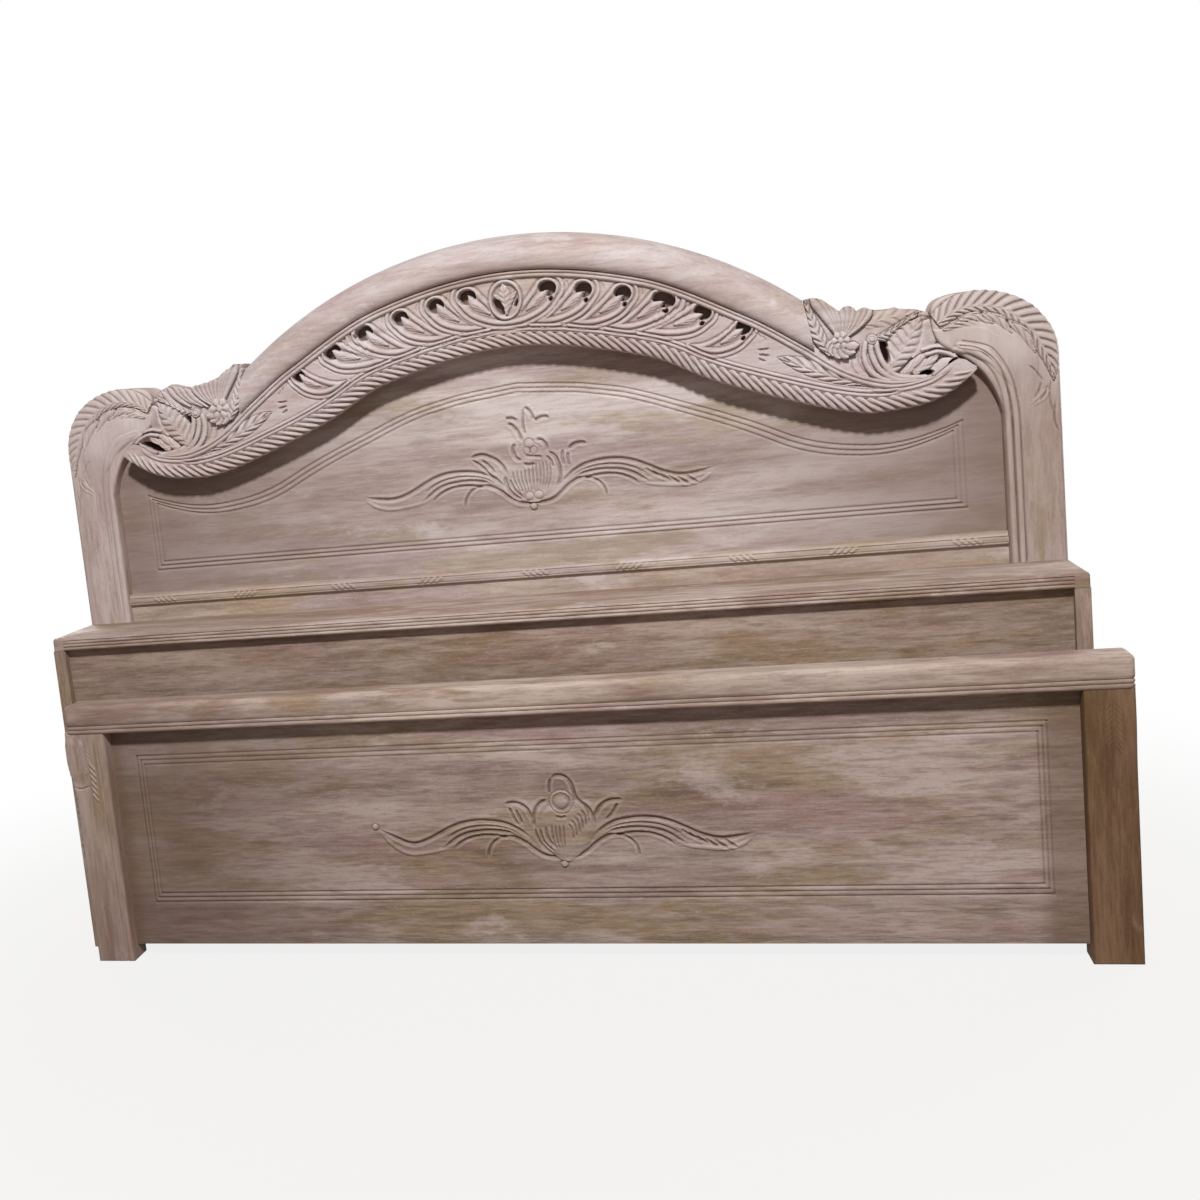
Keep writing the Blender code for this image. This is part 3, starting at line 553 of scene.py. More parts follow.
def measure(points: np.ndarray, path: Path, radii: Sequence[float] | None = None) -> Nearness:
    """Find the nearest place on a line for each point.

    Args:
        points: Points as an array of pairs.
        path: Corners of the line.
        radii: Half widths of the line at its corners, taken off the distance.

    Returns:
        The nearness of each point.
    """
    corners = np.array(path, float)
    widths = np.zeros(len(corners)) if radii is None else np.array(radii, float)
    lengths = np.linalg.norm(np.diff(corners, axis=0), axis=1)
    total = lengths.sum()
    best = np.full(len(points), np.inf)
    along = np.zeros(len(points))
    side = np.ones(len(points))
    run = 0.0
    for start, end, length, near, far in zip(corners, corners[1:], lengths, widths, widths[1:]):
        step = end - start
        offset = points - start
        share = np.clip(offset @ step / (length * length), 0.0, 1.0)
        gap = np.hypot(offset[:, 0] - share * step[0], offset[:, 1] - share * step[1])
        gap -= near + (far - near) * share
        closer = gap < best
        best[closer] = gap[closer]
        along[closer] = (run + share[closer] * length) / total
        turn = step[0] * offset[:, 1] - step[1] * offset[:, 0]
        side[closer] = np.where(turn[closer] < 0, -1.0, 1.0)
        run += length
    return Nearness(best, along, side)


def mirror_line(line: Path) -> list[Pair]:
    """The mirror image of a line, run the other way."""
    return [(-x, z) for x, z in reversed(line)]


def rectangle(half: float, low: float, high: float) -> list[Pair]:
    """Outline of a rectangle about the middle, from its half width and its two heights."""
    return [(-half, low), (half, low), (half, high), (-half, high)]


def ease(value: Any) -> Any:
    """A soft step from 0 to 1, of one or more values."""
    t = np.clip(value, 0.0, 1.0)
    return t * t * (3 - 2 * t)


def half_round(across: np.ndarray) -> np.ndarray:
    """A round section, from 1 at its middle to 0 at 1 and beyond."""
    return np.sqrt(np.clip(1 - across * across, 0, 1))


def vee(gap: np.ndarray, half: float) -> np.ndarray:
    """A pointed section, from 1 at its middle to 0 at its half width and beyond."""
    return np.clip(1 - np.abs(gap) / half, 0, 1)


# Carving

LEAF_MARGIN = 0.004
LEAF_RIM = 0.0022
VEIN_WIDTH = 0.0014
BALL_RIM = 0.002
CUT_TAPER = 0.14
SEEN_BEND = 0.00003
# Height under or over the surroundings at which the painted shade, and the wear with painted highlight, are
# full.
SHADE_AND_WEAR_HEIGHT = 0.0016
# Depth where the painted deep shade starts, and the depth over which it grows.
DEEP_START = 0.0125
DEEP_RANGE = 0.005


@dataclass(frozen=True)
class Leaf:
    """A carved leaf that runs along a spine from base to tip."""

    spine: Path
    left: float
    right: float
    level: float = 0.0
    crown: float = 0.003
    vein: float = 0.0
    ribs: float = 0.0
    rib_depth: float = 0.0015
    lean: float = 0.9
    widest: float = 0.45
    base_share: float = 0.15
    outline: float = 0.0025
    sunk: bool = False


class Relief:
    """Heights of a carved face at a set of points, worked stroke by stroke."""

    def __init__(self, points: np.ndarray, height: np.ndarray | None = None) -> None:
        """Start a face, or share the heights of another that is measured in other coordinates."""
        self.points = points
        self.height = np.zeros(len(points)) if height is None else height

    def mirrored(self) -> "Relief":
        """The same face seen in a mirror, sharing its heights."""
        return Relief(self.points * (-1.0, 1.0), self.height)

    def as_right(self) -> tuple["Relief", bool]:
        """The face as if it were on the right, and whether it is."""
        right = bool(self.points[:, 0].mean() > 0)
        return (self if right else self.mirrored()), right

    def moved(self, x: float, z: float) -> "Relief":
        """The same face measured from another zero, sharing its heights."""
        return Relief(self.points - (x, z), self.height)

    def near_line(self, path: Path, reach: float) -> np.ndarray:
        """Which points lie in a line's box, grown by a reach."""
        corners = np.array(path)
        low, high = corners.min(0) - reach, corners.max(0) + reach
        return np.flatnonzero(((self.points > low) & (self.points < high)).all(1))

    def stroke(self, path: Path, width: float, rise: float, taper: float = 0.0, sharp: bool = False) -> None:
        """Raise a bead along a line, or cut a groove when the rise is negative.

        Args:
            path: Points that the line passes through.
            width: Full width.
            rise: Height at its middle.
            taper: Share of the length over which each end thins out.
            sharp: Whether the section is a vee and not round.
        """
        line = smooth_line(path) if len(path) > 2 else list(path)
        index = self.near_line(line, width)
        near = measure(self.points[index], line)
        fade = np.ones(len(index))
        if taper:
            fade = ease(near.along / taper) * ease((1 - near.along) / taper)
        across = np.clip(near.distance / np.maximum(width / 2 * (0.35 + 0.65 * fade), 1e-6), 0.0, 1.0)
        section = 1 - across if sharp else half_round(across)
        self.height[index] += rise * fade * section

    def cut(self, path: Path, width: float, depth: float) -> None:
        """Cut a vee that thins out at its ends and has soft lips.

        Args:
            path: Points that the line passes through.
            width: Full width of the vee.
            depth: Depth under the lips.
        """
        self.stroke(path, width * 2.1, depth * 0.26, CUT_TAPER)
        self.stroke(path, width, -depth * 1.26, CUT_TAPER, True)

    def leaf(self, leaf: Leaf) -> None:
        """Carve a leaf over what is there, with a cut round it."""
        line = smooth_line(leaf.spine)
        index = self.near_line(line, max(leaf.left, leaf.right) + LEAF_MARGIN)
        near = measure(self.points[index], line)
        rising = near.along < leaf.widest
        swell = np.where(
            rising,
            leaf.base_share + (1 - leaf.base_share) * np.sin(math.pi / 2 * near.along / leaf.widest),
            np.cos(math.pi / 2 * np.clip((near.along - leaf.widest) / (1 - leaf.widest), 0, 1)) ** 0.8,
        )
        half = np.where(near.side > 0, leaf.left, leaf.right) * swell + 1e-6
        across = near.distance / half
        inside = (across < 1) & (near.along > 0.0) & (near.along < 1.0)
        shape = leaf.level + leaf.crown * half_round(across)
        shape -= leaf.vein * np.exp(-((near.distance / VEIN_WIDTH) ** 2))
        if leaf.ribs:
            phase = 2 * math.pi * leaf.ribs * near.along - 2 * math.pi * leaf.lean * across
            cut = (0.5 + 0.5 * np.cos(phase)) ** 2.5
            shape -= leaf.rib_depth * cut * ease(across / 0.2)
        rim = vee(np.maximum(near.distance - half, 0.0), LEAF_RIM)
        height = self.height[index] - leaf.outline * rim
        over = shape if leaf.sunk else np.maximum(shape, height - 0.001)
        self.height[index] = np.where(inside, over, height)

    def pocket(self, centre: Pair, radii: Pair, turn: float, depth: float, wall: float = 0.0022) -> None:
        """Sink a deep oval pocket.

        Args:
            centre: Its middle.
            radii: Half length and half width.
            turn: Angle of its length, in degrees.
            depth: Depth of its floor.
            wall: Width of its sloping wall.
        """
        index = self.near_line([centre], max(radii) + wall)
        offset = self.points[index] - centre
        angle = math.radians(turn)
        along = offset[:, 0] * math.cos(angle) + offset[:, 1] * math.sin(angle)
        across = offset[:, 1] * math.cos(angle) - offset[:, 0] * math.sin(angle)
        gap = (1 - np.hypot(along / radii[0], across / radii[1])) * min(radii)
        share = ease(gap / wall)
        self.height[index] = self.height[index] * (1 - share) - depth * share

    def ball(self, centre: Pair, radius: float, rise: float, level: float = 0.0) -> None:
        """Raise a round boss with a cut round it.

        Args:
            centre: Its middle.
            radius: Its radius.
            rise: Height of its crown.
            level: Height of its foot.
        """
        index = self.near_line([centre], radius + 0.003)
        gap = np.hypot(*(self.points[index] - centre).T)
        dome = level + rise * half_round(gap / radius)
        height = self.height[index] - BALL_RIM * vee(gap - radius, BALL_RIM)
        self.height[index] = np.where(gap < radius, np.maximum(dome, height), height)

    def ring(self, centre: Pair, radius: float, width: float, rise: float) -> None:
        """Raise a round bead, or cut one when the rise is negative.

        Args:
            centre: Its middle.
            radius: Radius of its middle line.
            width: Full width.
            rise: Height at its middle.
        """
        index = self.near_line([centre], radius + width)
        gap = np.abs(np.hypot(*(self.points[index] - centre).T) - radius)
        self.height[index] += rise * half_round(2 * gap / width)

    def rosette(self, centre: Pair, radius: float, petals: int, rise: float, level: float) -> None:
        """Carve a round flower with a button.

        Args:
            centre: Its middle.
            radius: Its radius.
            petals: How many petals it has.
            rise: Height of the petals.
            level: Height of its foot.
        """
        index = self.near_line([centre], radius)
        offset = self.points[index] - centre
        gap = np.hypot(*offset.T)
        angle = np.arctan2(offset[:, 1], offset[:, 0])
        lobe = np.abs(np.cos(petals * angle / 2)) ** 0.6
        reach = radius * (0.78 + 0.22 * lobe)
        petal = level + rise * lobe * half_round((gap / reach) * 1.5 - 0.6)
        self.height[index] = np.where(gap < reach, petal, self.height[index])
        self.ball(centre, radius * 0.34, rise * 0.9, level + rise * 0.2)

    def round_edge(self, loop: Path, radius: float) -> None:
        """Round the face over towards its outline."""
        closed = list(loop) + [loop[0]]
        gap = measure(self.points, closed).distance
        inset = np.clip(1 - gap / radius, 0, 1)
        self.height -= radius * (1 - np.sqrt(1 - inset * inset))


class Form(NamedTuple):
    """A closed mesh: its points, its faces, and each point's masks for painted shade and for wear with
    painted highlight.
    """

    points: np.ndarray
    faces: list[list[int]]
    hollow: np.ndarray | None = None
    worn: np.ndarray | None = None


@dataclass
class CarvedPlate:
    """An upright plate whose front is carved, close-meshed only where the carving needs it."""

    outline: Path
    front: float
    back: float
    carve: Callable[[Relief], None]
    fine: float = 0.0014
    coarse: int = 8
    rim: float = 0.0035
    blur: int = 8

    def _grid(self, loop: np.ndarray) -> np.ndarray:
        """Points inside the outline, close together where the carving bends.

        Args:
            loop: The outline in even steps.

        Returns:
            The points.
        """
        low, high = loop.min(0), loop.max(0)
        xs = np.arange(low[0] + self.fine / 2, high[0], self.fine)
        zs = np.arange(low[1] + self.fine / 2, high[1], self.fine)
        inside = np.zeros((len(xs), len(zs)), bool)
        after = np.roll(loop, -1, 0)
        for row, x in enumerate(xs):
            over = (loop[:, 0] <= x) != (after[:, 0] <= x)
            share = (x - loop[over, 0]) / (after[over, 0] - loop[over, 0])
            crossings = np.sort(loop[over, 1] + share * (after[over, 1] - loop[over, 1]))
            inside[row] = np.searchsorted(crossings, zs) % 2 == 1
        clear = inside.copy()
        for axis in (0, 1):
            for way in (-1, 1):
                clear &= np.roll(inside, way, axis)
        clear[0], clear[-1], clear[:, 0], clear[:, -1] = False, False, False, False
        rows, columns = np.nonzero(clear)
        points = np.column_stack([xs[rows], zs[columns]])
        relief = Relief(points)
        self.carve(relief)
        height = np.zeros(clear.shape)
        height[clear] = relief.height
        busy = np.zeros(clear.shape, bool)
        for axis in (0, 1):
            bend = np.abs(np.roll(height, 1, axis) + np.roll(height, -1, axis) - 2 * height)
            whole = np.roll(clear, 1, axis) & np.roll(clear, -1, axis)
            busy |= (bend > SEEN_BEND) & whole
        for axis in (0, 1):
            busy = busy | np.roll(busy, 1, axis) | np.roll(busy, -1, axis)
        spare = (rows % self.coarse == 0) & (columns % self.coarse == 0)
        return points[busy[clear] | spare]

    def form(self) -> Form:
        """Mesh the plate.

        Returns:
            The closed mesh.
        """
        loop = even_steps(self.outline, self.rim)
        flat_points = [Vector(point) for point in np.vstack([loop, self._grid(loop)])]
        sides = [(i, (i + 1) % len(loop)) for i in range(len(loop))]
        corners, _, triangles, *_ = delaunay_2d_cdt(flat_points, sides, [], 1, 1e-7)
        flat = np.array([tuple(corner) for corner in corners])
        relief = Relief(flat)
        self.carve(relief)
        front = np.column_stack([flat[:, 0], self.front - relief.height, flat[:, 1]])
        triangle = np.array(triangles)
        edges = np.vstack([triangle[:, [0, 1]], triangle[:, [1, 2]], triangle[:, [2, 0]]])
        _, which, uses = np.unique(np.sort(edges, 1), axis=0, return_inverse=True, return_counts=True)
        following = dict(edges[uses[which.ravel()] == 1].tolist())
        border = [next(iter(following))]
        while following[border[-1]] != border[0]:
            border.append(following[border[-1]])
        behind = front[border].copy()
        behind[:, 1] = self.back
        count, rim = len(front), len(border)
        faces = triangle.tolist()
        for step, point in enumerate(border):
            other = (step + 1) % rim
            faces.append([border[other], point, count + step, count + other])
        faces.append([count + step for step in reversed(range(rim))])
        # Masks for painted shade in hollows and for wear with painted highlight on raised parts.
        hollow, worn = self._shade_and_wear(relief.height, edges)
        rest = np.zeros(rim)
        points = np.vstack([front, behind])
        return Form(points, faces, np.concatenate([hollow, rest]), np.concatenate([worn, rest]))

    def _shade_and_wear(self, height: np.ndarray, edges: np.ndarray) -> tuple[np.ndarray, np.ndarray]:
        """How far each point lies under or over its surroundings, as masks for painted shade and for wear
        with painted highlight.

        Args:
            height: Heights of the points.
            edges: Pairs of neighbours.

        Returns:
            Painted shade shares from 0 to 1 in hollows, up to 2 where painted deep shade darkens deep cuts,
            and shares of wear and painted highlight from 0 to 1.
        """
        count = len(height)
        uses = np.bincount(edges[:, 0], minlength=count) + np.bincount(edges[:, 1], minlength=count)
        around = height.copy()
        for _ in range(self.blur):
            total = np.bincount(edges[:, 0], around[edges[:, 1]], count)
            total += np.bincount(edges[:, 1], around[edges[:, 0]], count)
            around = total / uses
        hollow = np.clip((around - height) / SHADE_AND_WEAR_HEIGHT, 0, 1)
        deep = np.clip((-height - DEEP_START) / DEEP_RANGE, 0, 1)
        return hollow + deep, np.clip((height - around) / SHADE_AND_WEAR_HEIGHT, 0, 1)


def loft(rings: np.ndarray) -> Form:
    """Skin closed rings of points and close both ends.

    Args:
        rings: Points as an array of ring, place in the ring and axis.

    Returns:
        The closed mesh.
    """
    count, around, _ = rings.shape
    number = np.arange(count * around).reshape(count, around)
    turned = np.roll(number, -1, 1)
    quads = np.stack([number[:-1], turned[:-1], turned[1:], number[1:]], -1).reshape(-1, 4).tolist()
    return Form(rings.reshape(-1, 3), quads + [number[0].tolist()[::-1], number[-1].tolist()])


# Sub-assemblies

SHARP_ANGLE = math.radians(50)
EASED_ANGLE = math.radians(40)


@dataclass(frozen=True)
class Stand:
    """Where a unit stands: its body and the place of its own zero in the frame."""

    body: str
    x: float
    y: float


@dataclass
class SubAssembly:
    """Pieces that belong together, on one unit."""

    stand: Stand
    nodes: dict[str, bpy.types.Object]
    shelf: FinishShelf

    def build(self) -> None:
        """Make and dress the pieces."""
        raise NotImplementedError

    def add(self, name: str, form: Form, finish: TeakFinish, *replaced: str) -> None:
        """Make a piece, dress it and hang it on the unit.

        Args:
            name: The piece's name.
            form: Its mesh in the unit's own frame.
            finish: Its finish.
            replaced: CAD nodes that it stands for.
        """
        mesh = bpy.data.meshes.new(name)
        points = form.points + np.array((self.stand.x, self.stand.y, 0.0))
        mesh.from_pydata(points.tolist(), [], form.faces)
        work = bmesh.new()
        work.from_mesh(mesh)
        bmesh.ops.recalc_face_normals(work, faces=work.faces)
        work.to_mesh(mesh)
        work.free()
        # Store the masks for painted shade and for wear with painted highlight, for the teak finish.
        for label, values in (("hollow", form.hollow), ("worn", form.worn)):
            if values is not None:
                mesh.attributes.new(label, "FLOAT", "POINT").data.foreach_set("value", values)
        mesh.shade_smooth()
        mesh.set_sharp_from_angle(angle=SHARP_ANGLE)
        mesh.materials.append(self.shelf.material(finish))
        piece = bpy.data.objects.new(name, mesh)
        bpy.context.scene.collection.objects.link(piece)
        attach(piece, self.stand.body)
        if replaced:
            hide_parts(*replaced)
        LOG.info("%s: %d faces", name, len(mesh.polygons))

    def keep(self, finish: TeakFinish | SteelFinish, easing: float, *names: str) -> None:
        """Dress CAD nodes that keep their solids.

        Args:
            finish: Their finish.
            easing: How far sharp edges are eased, 0 for not at all.
            names: The nodes.
        """
        for name in names:
            node = self.nodes[name]
            node.data.materials.clear()
            node.data.materials.append(self.shelf.material(finish))
            if easing:
                eased = node.modifiers.new("eased_edges", "BEVEL")
                eased.width = easing
                eased.segments = 2
                eased.limit_method = "ANGLE"
                eased.angle_limit = EASED_ANGLE
            LOG.info("%s: kept", name)


class CrestLine:
    """A smooth, even line of the crest through (share of the half span, rise) stations."""

    def __init__(self, stations: Path, half: float, base: float) -> None:
        """Place the stations.

        Args:
            stations: Share of the half span and rise above the base for each.
            half: Half span.
            base: Height of the base.
        """
        self.along = np.array([share * half for share, _ in stations])
        self.heights = np.array([base + rise for _, rise in stations])
        count = len(stations)
        self.slopes = np.zeros(count)
        for index in range(1, count):
            after = min(index + 1, count - 1)
            run = self.along[after] - self.along[index - 1]
            self.slopes[index] = (self.heights[after] - self.heights[index - 1]) / run

    def __call__(self, x: Any) -> Any:
        """Height of the line at one or more places.

        Args:
            x: Place or places from the middle.

        Returns:
            The height or heights.
        """
        reach = np.minimum(np.abs(np.asarray(x, float)), self.along[-1])
        index = np.clip(np.searchsorted(self.along, reach, side="right") - 1, 0, len(self.along) - 2)
        width = self.along[index + 1] - self.along[index]
        t = (reach - self.along[index]) / width
        near = (1 + 2 * t) * (1 - t) ** 2 * self.heights[index]
        far = t * t * (3 - 2 * t) * self.heights[index + 1]
        bend = t * (1 - t) ** 2 * self.slopes[index] - t * t * (1 - t) * self.slopes[index + 1]
        return near + far + width * bend


@dataclass
class Crest(SubAssembly):
    """Arched cap, bead lines, pierced frieze, rope and the leaf clusters beside the arch."""

    half: float = 0.806
    tip: float = 0.997
    arch_rise: float = 0.33
    arch_end_rise: float = 0.146
    cap_half: float = 0.532
    cap_slant: float = 0.014
    cap_back: float = 0.055
    frieze_front: float = -0.0206
    frieze_back: float = 0.0024
    rope_radius: float = 0.0154
    rope_lift: float = 0.0112
    rope_slim: float = 0.12
    rope_slim_reach: float = 0.35
    rope_core: float = 0.48
    rope_bulge: float = 0.54
    rope_depth: float = -0.0125
    rope_pitch: float = 0.019
    rope_strands: int = 6
    rope_reach: float = 0.64
    rope_rings: int = 1560
    rope_sides: int = 61
    rope_tail: Sequence[Triple] = (
        (0.7, 0.9495, 1.0), (0.735, 0.956, 0.97), (0.765, 0.9685, 0.92), (0.788, 0.9825, 0.82),
        (0.804, 0.9915, 0.58), (0.814, 0.9945, 0.12),
    )
    head_lift: float = 0.101
    tail_start: float = 0.745
    leaf_front: float = -0.018
    leaf_back: float = 0.0247
    top_stations: Path = (
        (0.0, 0.261), (0.31, 0.22), (0.543, 0.127), (0.658, 0.065), (0.737, 0.018), (0.814, -0.008),
        (0.893, -0.014), (1.0, 0.002),
    )
    low_stations: Path = (
        (0.0, 0.125), (0.31, 0.082), (0.465, 0.022), (0.62, -0.025), (0.737, -0.054), (0.819, -0.063),
        (0.881, -0.055), (0.943, -0.031), (1.0, -0.004),
    )
    left_eyes: Sequence[float] = (0.07, 0.132, 0.203, 0.275, 0.346, 0.418)
    right_eyes: Sequence[float] = (0.081, 0.147, 0.218, 0.29, 0.358, 0.427)
    right_crown: Path = (
        (0.7395, 1.097), (0.7175, 1.1045), (0.6925, 1.108), (0.6847, 1.112), (0.678, 1.1105),
        (0.6675, 1.11), (0.6505, 1.111), (0.644, 1.113), (0.636, 1.1172), (0.627, 1.1155),
        (0.621, 1.1115), (0.6175, 1.118), (0.6097, 1.1232), (0.6, 1.1218), (0.5925, 1.115),
        (0.58, 1.1258), (0.5644, 1.139), (0.556, 1.1422), (0.547, 1.144), (0.5335, 1.1425),
    )
    left_crown: Path = (
        (0.737, 1.099), (0.728, 1.108), (0.718, 1.1125), (0.705, 1.1175), (0.693, 1.1225),
        (0.685, 1.1195), (0.67, 1.115), (0.65, 1.1115), (0.638, 1.1155), (0.629, 1.115), (0.62, 1.1185),
        (0.61, 1.118), (0.5985, 1.1235), (0.59, 1.126), (0.58, 1.134), (0.568, 1.139), (0.556, 1.148),
        (0.5335, 1.147),
    )

    def __post_init__(self) -> None:
        """Draw the crest's two main lines."""
        self.top = CrestLine(self.top_stations, self.half, self.tip)
        self.low = CrestLine(self.low_stations, self.half, self.tip)
        xs = np.linspace(-self.half, self.half, 241)
        self.low_path = np.column_stack([xs, self.low(xs)])
        self.length = np.linalg.norm(np.diff(self.low_path, axis=0), axis=1).sum()

    def head_arc(self, x: float) -> float:
        """How far along the lower edge a scroll lies whose head stands at a place.

        Args:
            x: Place of the head, from the middle.

        Returns:
            The length along the edge.
        """
        xs = np.linspace(0.0, 0.6, 301)
        run = np.concatenate([[0.0], np.cumsum(np.hypot(np.diff(xs), np.diff(self.low(xs))))])
        return float(np.interp(x, self.over_low(xs, self.head_lift)[:, 0], run))

    def over_low(self, xs: np.ndarray, distance: Any) -> np.ndarray:
        """Points that keep a distance above the lower edge.

        Args:
            xs: Places along the edge.
            distance: The distance, or one for each place.

        Returns:
            The points.
        """
        slope = np.gradient(self.low(xs), xs)
        size = np.hypot(1.0, slope)
        return np.column_stack([xs - distance * slope / size, self.low(xs) + distance / size])

    def build(self) -> None:
        """Make the crest's pieces."""
        self.add("carved_crest_cap", self._cap(), CREST_TEAK, "crest_cap")
        self.add("carved_crest_beads", self._beads(), CREST_TEAK)
        self.add("carved_crest_rope", self._rope(), CREST_TEAK, "crest_rope")
        outline = self._frieze_outline()
        frieze = CarvedPlate(outline, self.frieze_front, self.frieze_back, self._carve_frieze, 0.00135)
        self.add("carved_crest_frieze", frieze.form(), CREST_TEAK, "crest_frieze")
        right = self._cluster_outline(self.right_crown)
        left = mirror_line(self._cluster_outline(self.left_crown))
        carve = self._carve_cluster
        for side, outline in (("left", left), ("right", right)):
            plate = CarvedPlate(outline, self.leaf_front, self.leaf_back, carve, 0.0012, rim=0.002)
            self.add(f"carved_crest_leaf_{side}", plate.form(), CREST_TEAK, f"crest_leaf_{side}")
        self.keep(CREST_TEAK, 0.0, "crest_ground")

    def _cap(self) -> Form:
        """The arched cap: a round-fronted moulding between the arch and the frieze.

        Returns:
            The mesh.
        """
        front = [
            (0.0, -0.029), (0.03, -0.0325), (0.1, -0.036), (0.22, -0.038), (0.36, -0.0375),
            (0.5, -0.0345), (0.63, -0.029), (0.75, -0.021), (0.85, -0.0115), (0.92, -0.002),
            (0.97, 0.008), (1.0, 0.02),
        ]
        rear = [(1.0, 0.038), (0.985, 0.047), (0.94, 0.053), (0.86, self.cap_back), (0.0, self.cap_back)]
        profile = np.array(smooth_line(front, 3) + rear)
        drop = self.arch_rise - self.arch_end_rise
        radius = (self.cap_half**2 + drop**2) / (2 * drop)
        rings = []
        for share in np.linspace(-1.0, 1.0, 161):
            x = share * (self.cap_half + self.cap_slant * (1 - profile[:, 0]))
            bow = np.sqrt(radius**2 - np.minimum(np.abs(x), self.cap_half) ** 2)
            arch = self.tip + self.arch_rise - radius + bow
            low = self.top(x) + 0.0003
            rings.append(np.column_stack([x, profile[:, 1], low + (arch - low) * profile[:, 0]]))
        return loft(np.array(rings))

    def _beads(self) -> Form:
        """Two fine beads under the cap, running on into the tails.

        Returns:
            The mesh.
        """
        turns = np.linspace(0.0, math.pi, 9)
        section = [(0.0036 * (1 - math.cos(t)), -0.005 * math.sin(t)) for t in turns]
        section += [(0.0072 + down, deep * 0.85) for down, deep in section[1:]]
        section += [(0.0144, 0.008), (0.0, 0.008)]
        down, deep = np.array(section).T
        reach = self.tail_start + 0.01
        xs = np.linspace(-reach, reach, 401)
        slope = np.gradient(self.top(xs), xs)
        size = np.hypot(1.0, slope)
        rings = []
        for x, z, tilt, long in zip(xs, self.top(xs), slope, size):
            thin = 0.25 + 0.75 * ease((reach - abs(x)) / 0.1)
            across = x + down * thin * tilt / long
            depth = self.frieze_front - 0.0015 + deep * thin
            rings.append(np.column_stack([across, depth, z - down * thin / long]))
        return loft(np.array(rings))

    def _rope(self) -> Form:
        """Rope moulding along the lower edge, its strands laid one way all along.

        Returns:
            The mesh.
        """
        arch = self.over_low(np.linspace(0.0, self.rope_reach, 33), self.rope_lift)
        stout = [(x, z, 1 - self.rope_slim * max(0.0, 1 - x / self.rope_slim_reach)) for x, z in arch]
        half = np.array(smooth_line(stout + list(self.rope_tail)))
        corners = np.vstack([half[:0:-1] * (-1.0, 1.0, 1.0), half])
        run = np.concatenate([[0.0], np.cumsum(np.linalg.norm(np.diff(corners[:, :2], axis=0), axis=1))])
        steps = np.linspace(0.0, run[-1], self.rope_rings)
        path = np.column_stack([np.interp(steps, run, part) for part in corners.T])
        way = np.gradient(path[:, :2], axis=0)
        way /= np.linalg.norm(way, axis=1)[:, None]
        turns = np.linspace(0.0, 2 * math.pi, self.rope_sides, endpoint=False)
        rings = []
        crests = []
        for (x, z, share), (right, rise), along in zip(path, way, steps - run[-1] / 2):
            phase = along / self.rope_pitch - self.rope_strands * turns / (2 * math.pi)
            strand = np.abs(np.sin(math.pi * phase)) ** 0.75
            radius = self.rope_radius * share * (self.rope_core + self.rope_bulge * strand)
            up, out = radius * np.cos(turns), radius * np.sin(turns)
            rings.append(np.column_stack([x - rise * up, self.rope_depth - out, z + right * up]))
            crests.append(strand)
        crest = np.array(crests).ravel()
        # Painted shade in the gaps between strands, and wear with painted highlight on their crests.
        hollow = np.clip(2.3 - 3.0 * crest, 0, 1.9)
        return loft(np.array(rings))._replace(hollow=hollow, worn=crest**6 * 0.7)

    def _frieze_outline(self) -> list[Pair]:
        """Outline of the frieze with its two tails.

        Returns:
            The points in order.
        """
        xs = np.linspace(-self.tail_start, self.tail_start, 241)
        upper = np.column_stack([xs, self.top(xs)])
        rise = [(0.765, 1.0005), (0.778, 1.0085), (0.786, 1.0115), (0.796, 1.0085), (0.806, 1.0)]
        fall = [(0.8138, 0.9905), (0.802, 0.98), (0.78, 0.9655), (0.755, 0.952)]
        right = rise + fall
        xs = np.linspace(-0.74, 0.74, 241)
        lower = self.over_low(xs, 0.022 * ease((0.735 - np.abs(xs)) / 0.04))
        left = [(-x, z) for x, z in right]
        return [tuple(p) for p in lower] + right[::-1] + [tuple(p) for p in upper[::-1]] + left

    def _carve_frieze(self, relief: Relief) -> None:
        """Carve scrolls, medallion, fillets, end sprays and tails."""
        near = measure(relief.points, self.low_path)
        band = np.column_stack([np.abs(near.along - 0.5) * self.length, near.distance * near.side])
        for side, eyes in ((-1, self.left_eyes), (1, self.right_eyes)):
            half = np.flatnonzero(relief.points[:, 0] * side > 0)
            part = Relief(band[half])
            for eye in reversed(eyes):
                self._carve_scroll(part.moved(self.head_arc(eye), 0.0), side)
            relief.height[half] += part.height
        oval = Relief((relief.points - (0.002, 1.2065)) * (1.18, 1.0), relief.height)
        self._carve_medallion(oval)
        fillets = Relief(band, relief.height)
        for gap in (0.0275, 0.0345):
            fillets.stroke([(0.0, gap), (0.74, gap)], 0.0064, 0.0034, 0.06)
            fillets.stroke([(0.0, gap + 0.0035), (0.74, gap + 0.0035)], 0.002, -0.0024, 0.06, True)
        for face in (relief, relief.mirrored()):
            self._carve_spray(face)
            self._carve_tail(face)

